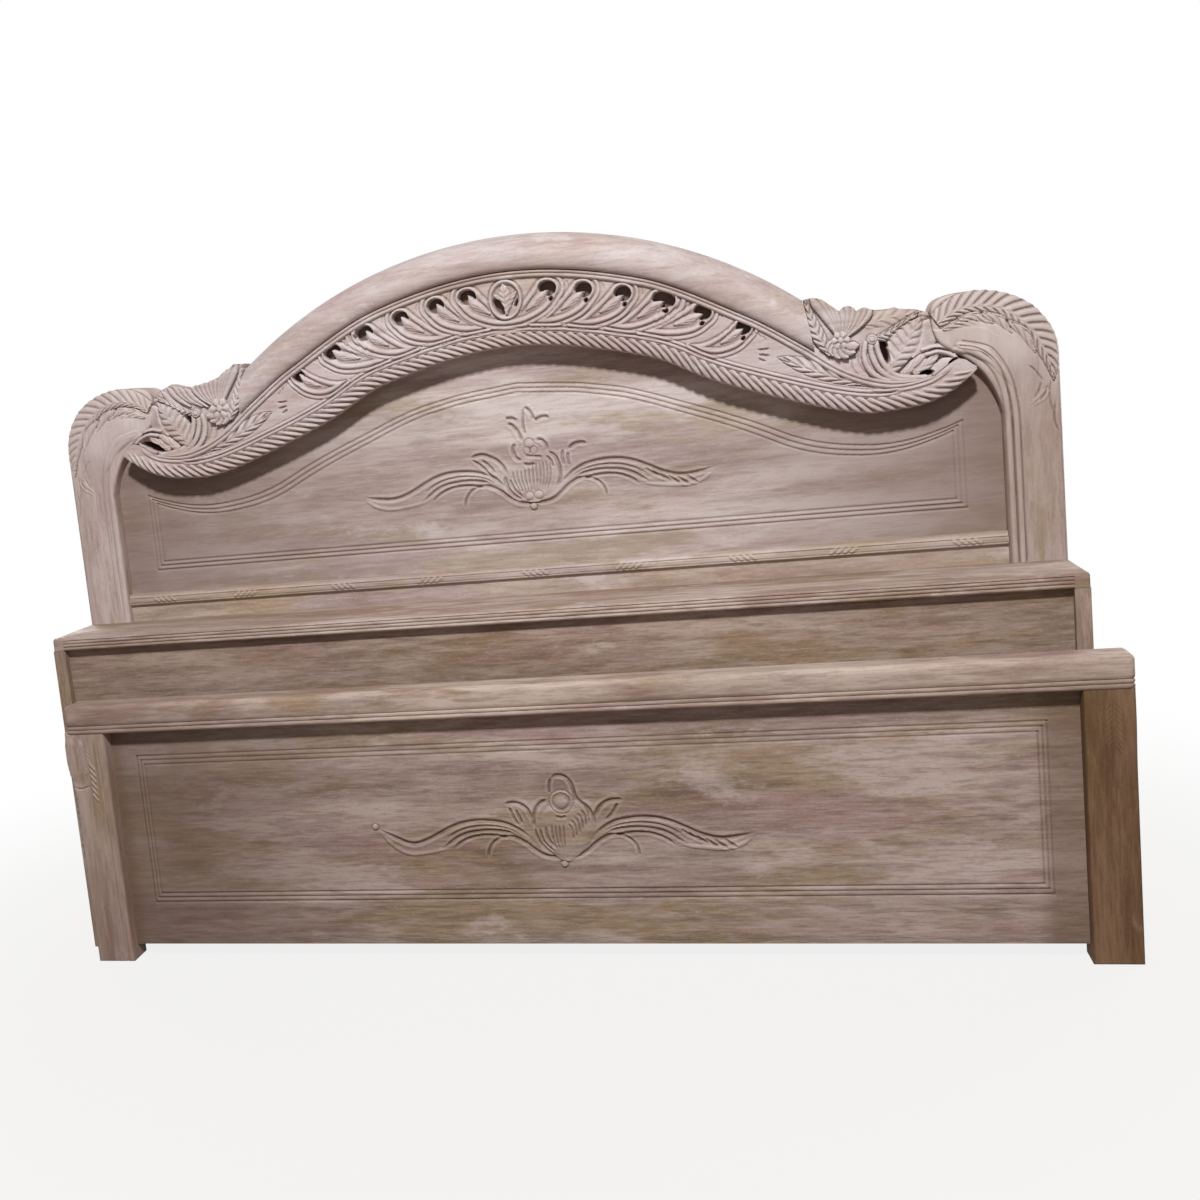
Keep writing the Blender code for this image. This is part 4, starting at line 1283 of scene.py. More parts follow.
    def _carve_scroll(self, face: Relief, side: int) -> None:
        """Carve one teardrop scroll.

        Args:
            face: The face, with the scroll's head over zero and its tail towards the middle.
            side: -1 for the left half of the frieze, 1 for the right half.
        """
        spine = [
            (-0.082, 0.0405, 0.0008), (-0.06, 0.0452, 0.0075), (-0.037, 0.0575, 0.015),
            (-0.014, 0.078, 0.0205), (0.0, self.head_lift, 0.0205),
        ]
        line = np.array(smooth_line(spine))
        index = face.near_line(line[:, :2], 0.034)
        near = measure(face.points[index], line[:, :2], line[:, 2])
        gap, below = near.distance, near.side < 0
        height = np.where((gap < 0) | ((gap < 0.0092) & below), 0.0, face.height[index])
        second = 0.002 * half_round((gap - 0.0056) / 0.0034)
        second -= 0.0018 * vee(gap - 0.0098, 0.0026)
        height += np.where(below, second, 0.0)
        height -= 0.0028 * vee(gap - 0.0008, 0.003)
        height += 0.003 * half_round((gap + 0.0042) / 0.0042)
        height -= np.where(below, 0.0022 * vee(gap + 0.0112, 0.002), 0.0)
        height -= 0.0022 * ease((-gap - 0.008) / 0.003)
        face.height[index] = height
        face.pocket((0.0005, self.head_lift + 0.0005), (0.0155, 0.015), 0, 0.0205, 0.0026)
        tip = (0.002, 0.0985) if side > 0 else (-0.002, 0.105)
        bud = [(-0.034, 0.062), (-0.02, 0.076), (-0.008, 0.0885), tip]
        face.leaf(Leaf(
            bud, 0.009, 0.0105, level=-0.0085, crown=0.0105, widest=0.5, base_share=0.2, outline=0.0,
        ))
        for lift in (0.0, 0.006):
            start = (-0.022 + lift * 0.4, 0.069 + lift)
            face.stroke([start, (start[0] + 0.016, start[1] + 0.012)], 0.0026, -0.002, 0.3, True)
        if side > 0:
            face.pocket((0.007, 0.0825), (0.0056, 0.004), 70, 0.018, 0.0015)
        for shift in (0.0, 0.0065):
            path = [(0.029 + shift, 0.1), (0.0275 + shift, 0.11), (0.021 + shift, 0.119)]
            face.stroke(path, 0.003, -0.0024, 0.3, True)

    def _carve_medallion(self, face: Relief) -> None:
        """Carve the ringed leaf at the crown of the arch, about zero."""
        index = face.near_line([(0.0, 0.0)], 0.042)
        gap = np.hypot(*face.points[index].T)
        face.height[index] = np.where(gap < 0.0385, -0.004 * ease((0.032 - gap) / 0.006), face.height[index])
        face.ring((0.0, 0.0), 0.0385, 0.0044, -0.0028)
        face.ring((0.0, 0.0), 0.0342, 0.007, 0.0038)
        lobes = (((-0.0265, 0.0125), 0.007, 4), ((0.027, 0.013), 0.0066, 4), ((-0.003, 0.03), 0.0135, 6))
        for tip, width, ribs in lobes:
            spine = [(0.0, -0.028), (tip[0] * 0.4, tip[1] * 0.35 - 0.006), tip]
            face.leaf(Leaf(
                spine, width, width, level=-0.002, crown=0.005, vein=0.0016, ribs=ribs, rib_depth=0.002,
                widest=0.6, outline=0.0012,
            ))
        face.pocket((-0.0165, -0.011), (0.02, 0.0098), 124, 0.0195)
        face.pocket((0.0225, -0.008), (0.0105, 0.0038), 60, 0.0185)

    def _carve_spray(self, face: Relief) -> None:
        """Carve the feathered leaf in the frieze's narrowing end, on the right."""
        spine = [(0.64, 0.98), (0.588, 0.9965), (0.536, 1.019), (0.483, 1.0465)]
        face.leaf(Leaf(
            spine, 0.011, 0.019, crown=0.0034, vein=0.0024, ribs=7, rib_depth=0.0052, lean=1.1,
            widest=0.6, base_share=0.2,
        ))
        for start, end in (((0.446, 1.064), (0.473, 1.063)), ((0.448, 1.056), (0.472, 1.05))):
            face.stroke([start, end], 0.0052, -0.005, 0.35)
        face.stroke([(0.448, 1.049), (0.464, 1.04)], 0.0046, -0.0045, 0.35)
        for shift in (0.0, 0.0085, 0.017):
            path = [(0.442 + shift, 1.102 - shift * 0.8), (0.45 + shift, 1.09 - shift * 0.8)]
            face.stroke(path, 0.0034, -0.003, 0.3, True)

    def _carve_tail(self, face: Relief) -> None:
        """Carve the two ribs of the right tail."""
        for shift in (0.0, 0.0072):
            line = [
                (0.63, 0.973 + shift), (0.685, 0.968 + shift), (0.73, 0.974 + shift),
                (0.756, 0.986 + shift * 0.8), (0.778, 1.002 + shift * 0.4),
            ]
            face.stroke(line, 0.0066, 0.0036, 0.15)

    def _cluster_outline(self, crown: Path) -> list[Pair]:
        """Outline of a leaf cluster as if on the right, from its foot on the frieze round the curl's side.

        Args:
            crown: Points of its upper edge, from the curl to the cap.

        Returns:
            The points in order.
        """
        xs = np.linspace(0.5475, self.tail_start - 0.002, 36)
        foot = [(x, self.top(x) + 0.0004) for x in xs]
        side = [
            (0.764, 1.0014), (0.7775, 1.0095), (0.785, 1.013), (0.78, 1.02), (0.769, 1.0275),
            (0.758, 1.0365), (0.75, 1.048), (0.745, 1.064), (0.7425, 1.08),
        ]
        return foot + side + list(crown)

    def _carve_cluster(self, relief: Relief) -> None:
        """Carve a leaf cluster; the left one is the right one's mirror but for its holes and flutes."""
        face, right = relief.as_right()
        face.height -= 0.0075
        self._carve_blades(face)
        self._carve_palmette(face, right)
        if right:
            holes = (((0.6635, 1.035), (0.0225, 0.0078), 106), ((0.661, 1.0475), (0.0098, 0.0088), 0))
            holes += (((0.732, 0.9925), (0.013, 0.0056), 8), ((0.776, 1.009), (0.011, 0.0032), 32))
        else:
            holes = (((0.661, 1.047), (0.017, 0.0062), 60), ((0.749, 1.003), (0.0285, 0.0082), 23))
        for centre, radii, turn in holes:
            face.pocket(centre, radii, turn, 0.04)
        bands = (
            [(0.633, 1.054), (0.63, 1.0325), (0.636, 1.0105), (0.652, 0.993), (0.674, 0.983), (0.7, 0.98)],
            [
                (0.6425, 1.054), (0.6425, 1.0355), (0.65, 1.0135), (0.6645, 0.996), (0.6865, 0.985),
                (0.715, 0.982),
            ],
            [
                (0.6515, 1.054), (0.6535, 1.039), (0.661, 1.017), (0.6735, 0.999), (0.6925, 0.989),
                (0.73, 0.985),
            ],
        )
        for band in bands:
            self._bar(face, band, 0.0096, 0.0056 if right else 0.003, -0.003)
        sweeps = (
            [(0.62, 1.044), (0.621, 1.02), (0.634, 0.996)],
            [(0.608, 1.03), (0.611, 1.011), (0.623, 0.993)],
        )
        for sweep in sweeps:
            face.stroke(sweep, 0.006, -0.003, 0.25, True)
        face.ball((0.6445, 1.06), 0.009, 0.006, -0.0005)
        face.ring((0.6445, 1.06), 0.0052, 0.002, -0.0022)
        x, z = face.points.T
        face.height -= 0.009 * ease((x - 0.716) / 0.028) * ease((z - 1.03) / 0.014)

    @staticmethod
    def _carve_palmette(face: Relief, right: bool) -> None:
        """Carve the fluted fan, the feather beside the cap and the rosette at their foot."""
        heart = (0.592, 1.064)
        flutes = ((0.715, 1.112), (0.702, 1.118), (0.69, 1.121), (0.677, 1.116), (0.664, 1.113))
        if not right:
            for x, z in flutes:
                flute = [(x - 0.046, z - 0.044), (x - 0.02, z - 0.024), (x, z)]
                face.leaf(Leaf(flute, 0.0066, 0.0066, level=-0.006, crown=0.005, widest=0.7, outline=0.0012))
        tips = [
            (0.649, 1.114), (0.64, 1.1195), (0.629, 1.1195), (0.617, 1.1215), (0.606, 1.127),
            (0.594, 1.124), (0.58, 1.129), (0.567, 1.14), (0.555, 1.146), (0.544, 1.147),
        ]
        for tip in tips:
            middle = (heart[0] * 0.45 + tip[0] * 0.55 + 0.003, heart[1] * 0.45 + tip[1] * 0.55 - 0.002)
            face.leaf(Leaf(
                [heart, middle, tip], 0.0074, 0.0074, level=-0.0035, crown=0.006, widest=0.8,
                outline=0.0011,
            ))
        feather = [(0.5745, 1.041), (0.557, 1.072), (0.5445, 1.105), (0.536, 1.143)]
        face.leaf(Leaf(
            feather, 0.012, 0.0115, level=-0.0015, crown=0.0055, vein=0.0016, ribs=8, rib_depth=0.0044,
            lean=1.0, widest=0.4, base_share=0.4,
        ))
        petals = [
            (0.569, 1.048), (0.5765, 1.038), (0.589, 1.0315), (0.6035, 1.032), (0.616, 1.04),
            (0.623, 1.053),
        ]
        for tip in petals:
            side = (tip[1] - heart[1], heart[0] - tip[0])
            bend = ((heart[0] + tip[0]) / 2 + side[0] * 0.18, (heart[1] + tip[1]) / 2 + side[1] * 0.18)
            face.leaf(Leaf(
                [heart, bend, tip], 0.008, 0.008, level=-0.0015, crown=0.0055, widest=0.72, outline=0.003,
            ))
        face.rosette(heart, 0.016 if right else 0.0215, 6, 0.005, 0.0012)

    @classmethod
    def _carve_blades(cls, face: Relief) -> None:
        """Carve the leaves between the volute and the post's curl."""
        plain = [(0.635, 1.086), (0.69, 1.096), (0.748, 1.093)]
        face.leaf(Leaf(
            plain, 0.018, 0.016, level=-0.008, crown=0.003, ribs=5, rib_depth=0.002, lean=0.8, widest=0.6,
            base_share=0.5, outline=0.0,
        ))
        inner = [(0.705, 1.025), (0.726, 1.052), (0.744, 1.085)]
        face.leaf(Leaf(
            inner, 0.02, 0.026, level=-0.005, crown=0.006, widest=0.6, base_share=0.5, outline=0.002,
        ))
        ribbed = [(0.652, 1.062), (0.68, 1.072), (0.706, 1.087), (0.724, 1.101)]
        face.leaf(Leaf(
            ribbed, 0.006, 0.0165, level=-0.0015, crown=0.005, ribs=7, rib_depth=0.005, lean=1.4,
            widest=0.45, base_share=0.4,
        ))
        broad = [(0.666, 0.994), (0.686, 1.025), (0.707, 1.056), (0.728, 1.09)]
        face.leaf(Leaf(
            broad, 0.03, 0.021, level=-0.005, crown=0.0075, vein=0.001, ribs=8, rib_depth=0.003,
            widest=0.5, base_share=0.3,
        ))
        for start, width in (((0.69, 0.993), 0.011), ((0.71, 0.993), 0.0095)):
            spine = [start, (start[0] + 0.024, start[1] + 0.015), (start[0] + 0.046, start[1] + 0.036)]
            face.leaf(Leaf(
                spine, width, width, level=-0.0045, crown=0.006, vein=0.0008, ribs=3, rib_depth=0.0018,
                lean=1.0, widest=0.5, base_share=0.4,
            ))
        facet = [(0.74, 0.991), (0.757, 1.0015), (0.777, 1.013)]
        face.leaf(Leaf(facet, 0.011, 0.011, level=-0.003, crown=0.0045, widest=0.6, base_share=0.6))
        ribbons = (
            [(0.726, 1.033), (0.748, 1.0375), (0.768, 1.032), (0.786, 1.019)],
            [(0.733, 1.024), (0.752, 1.027), (0.769, 1.0215), (0.782, 1.013)],
        )
        for ribbon in ribbons:
            cls._bar(face, ribbon, 0.007, 0.0062, -0.001)

    @staticmethod
    def _bar(face: Relief, path: Path, width: float, rise: float, level: float) -> None:
        """Lay a raised round bar over the carving.

        Args:
            face: The face.
            path: Points of its middle line.
            width: Full width.
            rise: Height of its crown over its foot.
            level: Height of its foot.
        """
        line = smooth_line(path)
        index = face.near_line(line, width)
        across = measure(face.points[index], line).distance / (width / 2)
        dome = level + rise * half_round(across)
        face.height[index] = np.where(across < 1, np.maximum(dome, face.height[index]), face.height[index])


@dataclass
class HeadPosts(SubAssembly):
    """The two head posts with their feathered curls and inner bead mouldings."""

    outer: float = 0.95
    inner: float = 0.855
    depth: float = 0.075
    top: float = 1.125
    shoulder_width: float = 0.14
    shoulder_height: float = 0.122
    inner_edge: Path = (
        (0.744, 1.09), (0.7452, 1.072), (0.7512, 1.05), (0.76, 1.0378), (0.7715, 1.0288), (0.783, 1.0212),
        (0.796, 1.012), (0.812, 0.9985), (0.8285, 0.979), (0.841, 0.956), (0.85, 0.933), (0.855, 0.91),
    )

    def build(self) -> None:
        """Make both posts."""
        right = self._outline()
        for side, outline in (("left", mirror_line(right)), ("right", right)):
            plate = CarvedPlate(outline, 0.0, self.depth, self._carve, 0.0013, rim=0.003)
            self.add(f"carved_head_post_{side}", plate.form(), HEAD_TEAK_UPRIGHT, f"head_post_{side}")

    def _outline(self) -> list[Pair]:
        """Outline of the right post, with the ribs of its curl standing out a little.

        Returns:
            The points in order.
        """
        loop = [(self.inner, 0.0), (self.outer, 0.0)]
        for share in np.linspace(0.0, 1.0, 90):
            angle = share * math.pi / 2
            swell = 0.0012 * abs(math.sin(math.pi * 13 * share)) * ease(share * 4)
            x = self.outer - self.shoulder_width * (1 - math.cos(angle)) + swell * math.cos(angle)
            z = self.top - self.shoulder_height * (1 - math.sin(angle)) + swell * math.sin(angle)
            loop.append((x, z))
        crown = loop[-1]
        nose = self.inner_edge[0]
        loop += self._bend(crown, (crown[0] - 0.04, crown[1]), (nose[0], nose[1] + 0.034), nose)
        return loop + smooth_line(self.inner_edge)[1:]

    @staticmethod
    def _bend(start: Pair, pull: Pair, push: Pair, end: Pair) -> list[Pair]:
        """Points of a curve after its start.

        Args:
            start: Where it starts.
            pull: What it first heads for.
            push: What it last comes from.
            end: Where it ends.

        Returns:
            The points.
        """
        corners = np.array([start, pull, push, end], float)
        points = []
        for t in np.linspace(0.0, 1.0, 25)[1:]:
            weights = np.array([(1 - t) ** 3, 3 * t * (1 - t) ** 2, 3 * t * t * (1 - t), t**3])
            points.append(tuple(weights @ corners))
        return points

    def _carve(self, relief: Relief) -> None:
        """Carve a post's face; the left one is the right one's mirror, cut more shallowly."""
        face, right = relief.as_right()
        depth = 1.0 if right else 0.62
        face.round_edge(self._outline(), 0.008)
        body = [(0.762, 1.05), (0.8, 1.048), (0.842, 1.035), (0.878, 1.0), (0.898, 0.93)]
        face.stroke(body, 0.07, 0.006, 0.35)
        feather = [
            (0.7555, 1.0745), (0.784, 1.092), (0.8155, 1.0975), (0.847, 1.0925), (0.869, 1.0835),
            (0.891, 1.064), (0.9105, 1.04), (0.923, 1.015), (0.9325, 0.989), (0.939, 0.956),
        ]
        face.leaf(Leaf(
            feather, 0.033, 0.016 * depth, crown=0.004, vein=0.001, ribs=17, rib_depth=0.0044 * depth,
            lean=1.5, widest=0.5, base_share=0.6,
        ))
        inner = [(0.764, 1.064), (0.8, 1.076), (0.833, 1.07), (0.8545, 1.043)]
        face.leaf(Leaf(
            inner, 0.006, 0.013, level=0.0005, crown=0.003, ribs=6, rib_depth=0.003 * depth, lean=1.2,
            widest=0.5, base_share=0.3, outline=0.0,
        ))
        edge = [
            (0.783, 1.027), (0.809, 1.0205), (0.831, 1.0045), (0.8465, 0.983), (0.8555, 0.958),
            (0.8612, 0.926), (0.8632, 0.8825), (0.8635, 0.8), (0.8635, 0.646),
        ]
        outer = [
            (0.788, 1.035), (0.8285, 1.0215), (0.848, 0.9995), (0.8635, 0.971), (0.8725, 0.9335),
            (0.8755, 0.889), (0.8757, 0.8), (0.8757, 0.646),
        ]
        for strap in (edge, outer):
            face.stroke(strap, 0.0108, 0.0042 if right else 0.0012)
            beside = [(x + 0.0064, z + 0.0064 * ease((z - 0.93) / 0.08)) for x, z in strap]
            face.stroke(beside, 0.0034, -0.0026 if right else -0.0006, 0.0, True)
        low_leaf = [(0.933, 0.946), (0.92, 0.933), (0.899, 0.915)]
        face.leaf(Leaf(
            low_leaf, 0.01, 0.012, level=-0.0012, crown=0.0022, vein=0.0014, widest=0.45, outline=0.0,
            sunk=True,
        ))
        tips = (
            [(0.79, 1.08), (0.82, 1.083), (0.848, 1.064)],
            [(0.83, 1.085), (0.858, 1.072), (0.876, 1.044)],
            [(0.872, 1.066), (0.898, 1.044), (0.912, 1.006)],
        )
        for spine in tips:
            face.leaf(Leaf(
                spine, 0.005, 0.0105, level=0.0005, crown=0.0034, vein=0.001, ribs=3,
                rib_depth=0.0024 * depth, lean=1.1, widest=0.4, base_share=0.5,
            ))
        cuts = (
            [(0.896, 0.99), (0.91, 0.976), (0.924, 0.954)],
            [(0.904, 0.926), (0.913, 0.94), (0.92, 0.96)],
            [(0.913, 0.922), (0.923, 0.935), (0.93, 0.954)],
            [(0.9345, 0.964), (0.931, 0.928), (0.938, 0.895)],
            [(0.94, 0.926), (0.937, 0.89), (0.946, 0.862)],
        )
        for path in cuts:
            face.stroke(path, 0.0046, -0.003 * depth, 0.25, True)


def cut_line(relief: Relief, line: Path, width: float, depth: float) -> None:
    """Cut a vee along a line whose corners stay sharp.

    Args:
        relief: The face.
        line: Its corners.
        width: Full width.
        depth: Depth at its middle.
    """
    gap = measure(relief.points, line).distance
    relief.height -= depth * vee(gap, width / 2)


DEEP_CUT = (0.01, 0.0052)
PLAIN_CUT = (0.0076, 0.0042)
FINE_CUT = (0.0054, 0.0028)


class LotusKind(Enum):
    """The two lotus flowers: open with a crown of tips, or hooded over its seed."""

    OPEN = "open"
    HOODED = "hooded"


@dataclass(frozen=True)
class Lotus:
    """A lotus with S-shaped leaf tails, sunk into a panel."""

    kind: LotusKind
    x: float
    z: float
    tail_lift: float = 0.0

    def carve(self, relief: Relief) -> None:
        """Carve the lotus into a panel."""
        face = relief.moved(self.x, self.z)
        for side, tail in ((1, face), (-1, face.mirrored())):
            self._tail(tail.moved(0.0, self.tail_lift), side)
        if self.kind is LotusKind.OPEN:
            self._open_flower(face)
        else:
            self._hooded_flower(face)

    def _tail(self, face: Relief, side: int) -> None:
        """Carve a tail; the right one's end is ribbed and a hooded flower's left one ends in a curl.

        Args:
            face: The face, with the tail on its right.
            side: 1 for the right tail, -1 for the left.
        """
        curl = 0.022 if side < 0 and self.kind is LotusKind.HOODED else 0.0
        under = [
            (0.205, -0.064), (0.245, -0.0705), (0.285, -0.074), (0.315, -0.068 + curl * 0.4),
            (0.345, -0.049 + curl),
        ]
        face.stroke(under, 0.008, 0.0026, 0.2)
        upper = [
            (0.048, -0.056), (0.07, -0.0365), (0.098, -0.0205), (0.13, -0.014), (0.165, -0.014),
            (0.195, -0.021), (0.225, -0.035), (0.25, -0.047), (0.28, -0.0545),
            (0.315, -0.052 + curl * 0.5), (0.35, -0.0435 + curl),
        ]
        stem = [
            (-0.008, -0.08), (0.004, -0.083), (0.018, -0.0842), (0.035, -0.08), (0.05, -0.0705),
            (0.066, -0.057), (0.086, -0.046), (0.105, -0.043),
        ]
        for line in (upper, stem):
            face.cut(line, *DEEP_CUT)
        inner = [
            (0.07, -0.045), (0.09, -0.032), (0.122, -0.024), (0.16, -0.024), (0.19, -0.032),
            (0.22, -0.049),
        ]
        face.cut(inner, *FINE_CUT)
        second = [
            (0.08, -0.042), (0.1, -0.035), (0.13, -0.0318), (0.165, -0.0345), (0.19, -0.0425),
            (0.212, -0.057), (0.226, -0.066),
        ]
        third = [
            (0.09, -0.05), (0.11, -0.0435), (0.138, -0.0408), (0.165, -0.044), (0.188, -0.0545),
            (0.206, -0.069),
        ]
        small = [(0.094, -0.042), (0.112, -0.0465), (0.127, -0.056), (0.136, -0.07), (0.139, -0.087)]
        for line in (second, third, small):
            face.cut(line, *PLAIN_CUT)
        if side > 0:
            ribs = [
                (0.214, -0.036), (0.227, -0.043), (0.24, -0.049), (0.255, -0.054), (0.271, -0.057),
                (0.288, -0.056),
            ]
            for x, z in ribs:
                face.cut([(x, z), (x + 0.01, z - 0.0085), (x + 0.023, z - 0.017)], *PLAIN_CUT)
        elif curl:
            face.ball((0.35, -0.0205), 0.006, 0.0034)

    @staticmethod
    def _open_flower(face: Relief) -> None:
        """Carve the ribbed bud with its curled crown, side leaves and tips."""
        body = [(-0.001, -0.084), (-0.001, -0.035), (-0.001, 0.034)]
        face.leaf(Leaf(
            body, 0.05, 0.05, level=-0.001, crown=0.0046, widest=0.5, base_share=0.2, outline=0.0,
        ))
        deep = (
            [(-0.005, 0.1), (0.0033, 0.0917), (0.0087, 0.0817), (0.0113, 0.072)],
            [(0.0113, 0.0713), (0.0217, 0.0758), (0.0317, 0.0775), (0.042, 0.075)],
            [(-0.0435, 0.08), (-0.0317, 0.0803), (-0.021, 0.0745)],
            [(-0.0413, 0.072), (-0.032, 0.0667), (-0.0237, 0.0567), (-0.0183, 0.045), (-0.0153, 0.0333)],
            [(-0.028, 0.033), (-0.0342, 0.0217), (-0.0317, 0.0083), (-0.025, 0.0008), (-0.017, 0.0)],
            [(0.0115, 0.035), (0.0217, 0.034), (0.03, 0.025), (0.0325, 0.013)],
            [
                (0.031, 0.013), (0.0433, 0.0033), (0.05, -0.0083), (0.0535, -0.026), (0.0515, -0.044),
                (0.044, -0.06),
            ],
            [(-0.016, -0.0085), (-0.005, -0.0113), (0.007, -0.01)],
            [
                (-0.122, 0.011), (-0.098, 0.016), (-0.08, 0.01), (-0.065, 0.0), (-0.0555, -0.013),
                (-0.051, -0.028),
            ],
            [(0.072, 0.012), (0.0833, 0.02), (0.095, 0.0225), (0.109, 0.02)],
            [(-0.0545, -0.026), (-0.0535, -0.04), (-0.049, -0.055), (-0.039, -0.068), (-0.023, -0.078)],
        )
        for line in deep:
            face.cut(line, *DEEP_CUT)
        plain = (
            [(0.029, 0.004), (0.0375, -0.0067), (0.041, -0.02)],
            [(-0.0458, -0.034), (-0.0417, -0.0483), (-0.0333, -0.0617), (-0.022, -0.0717)],
            [(-0.013, 0.007), (0.0017, 0.005), (0.015, 0.0033), (0.023, 0.001)],
            [(-0.118, 0.009), (-0.098, -0.006), (-0.085, -0.022), (-0.066, -0.036)],
            [(-0.0045, 0.1), (-0.0085, 0.085), (-0.01, 0.065), (-0.007, 0.045)],
            [(-0.097, 0.006), (-0.084, -0.006), (-0.073, -0.02)],
            [(0.062, 0.013), (0.06, -0.0017), (0.0625, -0.018)],
            [(0.072, 0.006), (0.07, -0.006), (0.072, -0.02)],
        )
        for line in plain:
            face.cut(line, *PLAIN_CUT)
        for x in (-0.0365, -0.029, -0.0215, -0.014, -0.0065, 0.001, 0.0085, 0.015, 0.0215, 0.028, 0.0345):
            top = -0.004 - 0.014 * ease((0.01 - x) / 0.03)
            face.cut([(x, top), (x * 1.02, -0.035), (x * 0.72, -0.066)], *FINE_CUT)
        face.ball((-0.0017, 0.029), 0.0095, 0.0034)
        face.ball((-0.0075, 0.0165), 0.0072, 0.003)
        face.ball((0.0065, 0.016), 0.0072, 0.003)
        for x, z, radius in ((-0.01, -0.071, 0.0085), (0.0083, -0.07, 0.0085), (-0.0033, -0.0915, 0.007)):
            face.ball((x, z), radius, 0.0042)

    @staticmethod
    def _hooded_flower(face: Relief) -> None:
        """Carve the flower whose hood folds over a round seed."""
        body = [(0.006, -0.08), (0.008, -0.034), (0.008, 0.04)]
        face.leaf(Leaf(
            body, 0.054, 0.054, level=-0.001, crown=0.0046, widest=0.5, base_share=0.2, outline=0.0,
        ))
        deep = (
            [
                (-0.013, 0.068), (-0.004, 0.0785), (0.0067, 0.08), (0.0167, 0.0758), (0.025, 0.065),
                (0.0292, 0.0517), (0.0325, 0.038), (0.04, 0.0285), (0.049, 0.0215), (0.0565, 0.011),
                (0.0615, -0.001), (0.064, -0.018),
            ],
            [(-0.019, 0.036), (-0.031, 0.03), (-0.041, 0.02), (-0.0475, 0.004), (-0.0485, -0.018)],
            [(-0.102, 0.028), (-0.0833, 0.031), (-0.0683, 0.0267), (-0.0567, 0.015), (-0.05, -0.006)],
            [(0.0625, -0.002), (0.0717, 0.0167), (0.0833, 0.0267), (0.0967, 0.0317), (0.118, 0.032)],
        )
        for line in deep:
            face.cut(line, *DEEP_CUT)
        plain = (
            [(-0.0917, 0.024), (-0.085, 0.005), (-0.076, -0.013)],
            [(-0.08, 0.018), (-0.074, 0.004), (-0.069, -0.01)],
            [(0.108, 0.027), (0.096, 0.008), (0.083, -0.006)],
            [(-0.0465, -0.017), (-0.044, -0.033), (-0.035, -0.051), (-0.016, -0.069)],
            [(-0.0385, -0.017), (-0.033, -0.042), (-0.015, -0.062)],
            [(-0.027, -0.013), (-0.0235, -0.037), (-0.01, -0.057)],
            [(-0.01, 0.075), (-0.014, 0.062), (-0.015, 0.046)],
            [(-0.007, 0.0045), (0.0035, 0.002), (0.014, 0.004)],
        )
        for line in plain:
            face.cut(line, *PLAIN_CUT)
        for step in range(6):
            x, z = 0.014 + step * 0.0062, -0.0085 + step * 0.0062
            face.cut([(x, z), (x + 0.0075, z - 0.012), (x + 0.0085, z - 0.033)], *FINE_CUT)
        for x in (-0.015, -0.008, -0.001, 0.006):
            face.cut([(x, -0.01), (x, -0.034), (x * 0.7 + 0.001, -0.06)], *FINE_CUT)
        face.ball((0.0058, 0.0308), 0.0215, 0.003, 0.001)
        face.ring((0.0058, 0.0308), 0.015, 0.005, -0.003)
        face.ball((0.0062, 0.0305), 0.0112, 0.004, 0.002)
        face.ball((0.0017, -0.086), 0.0065, 0.004)


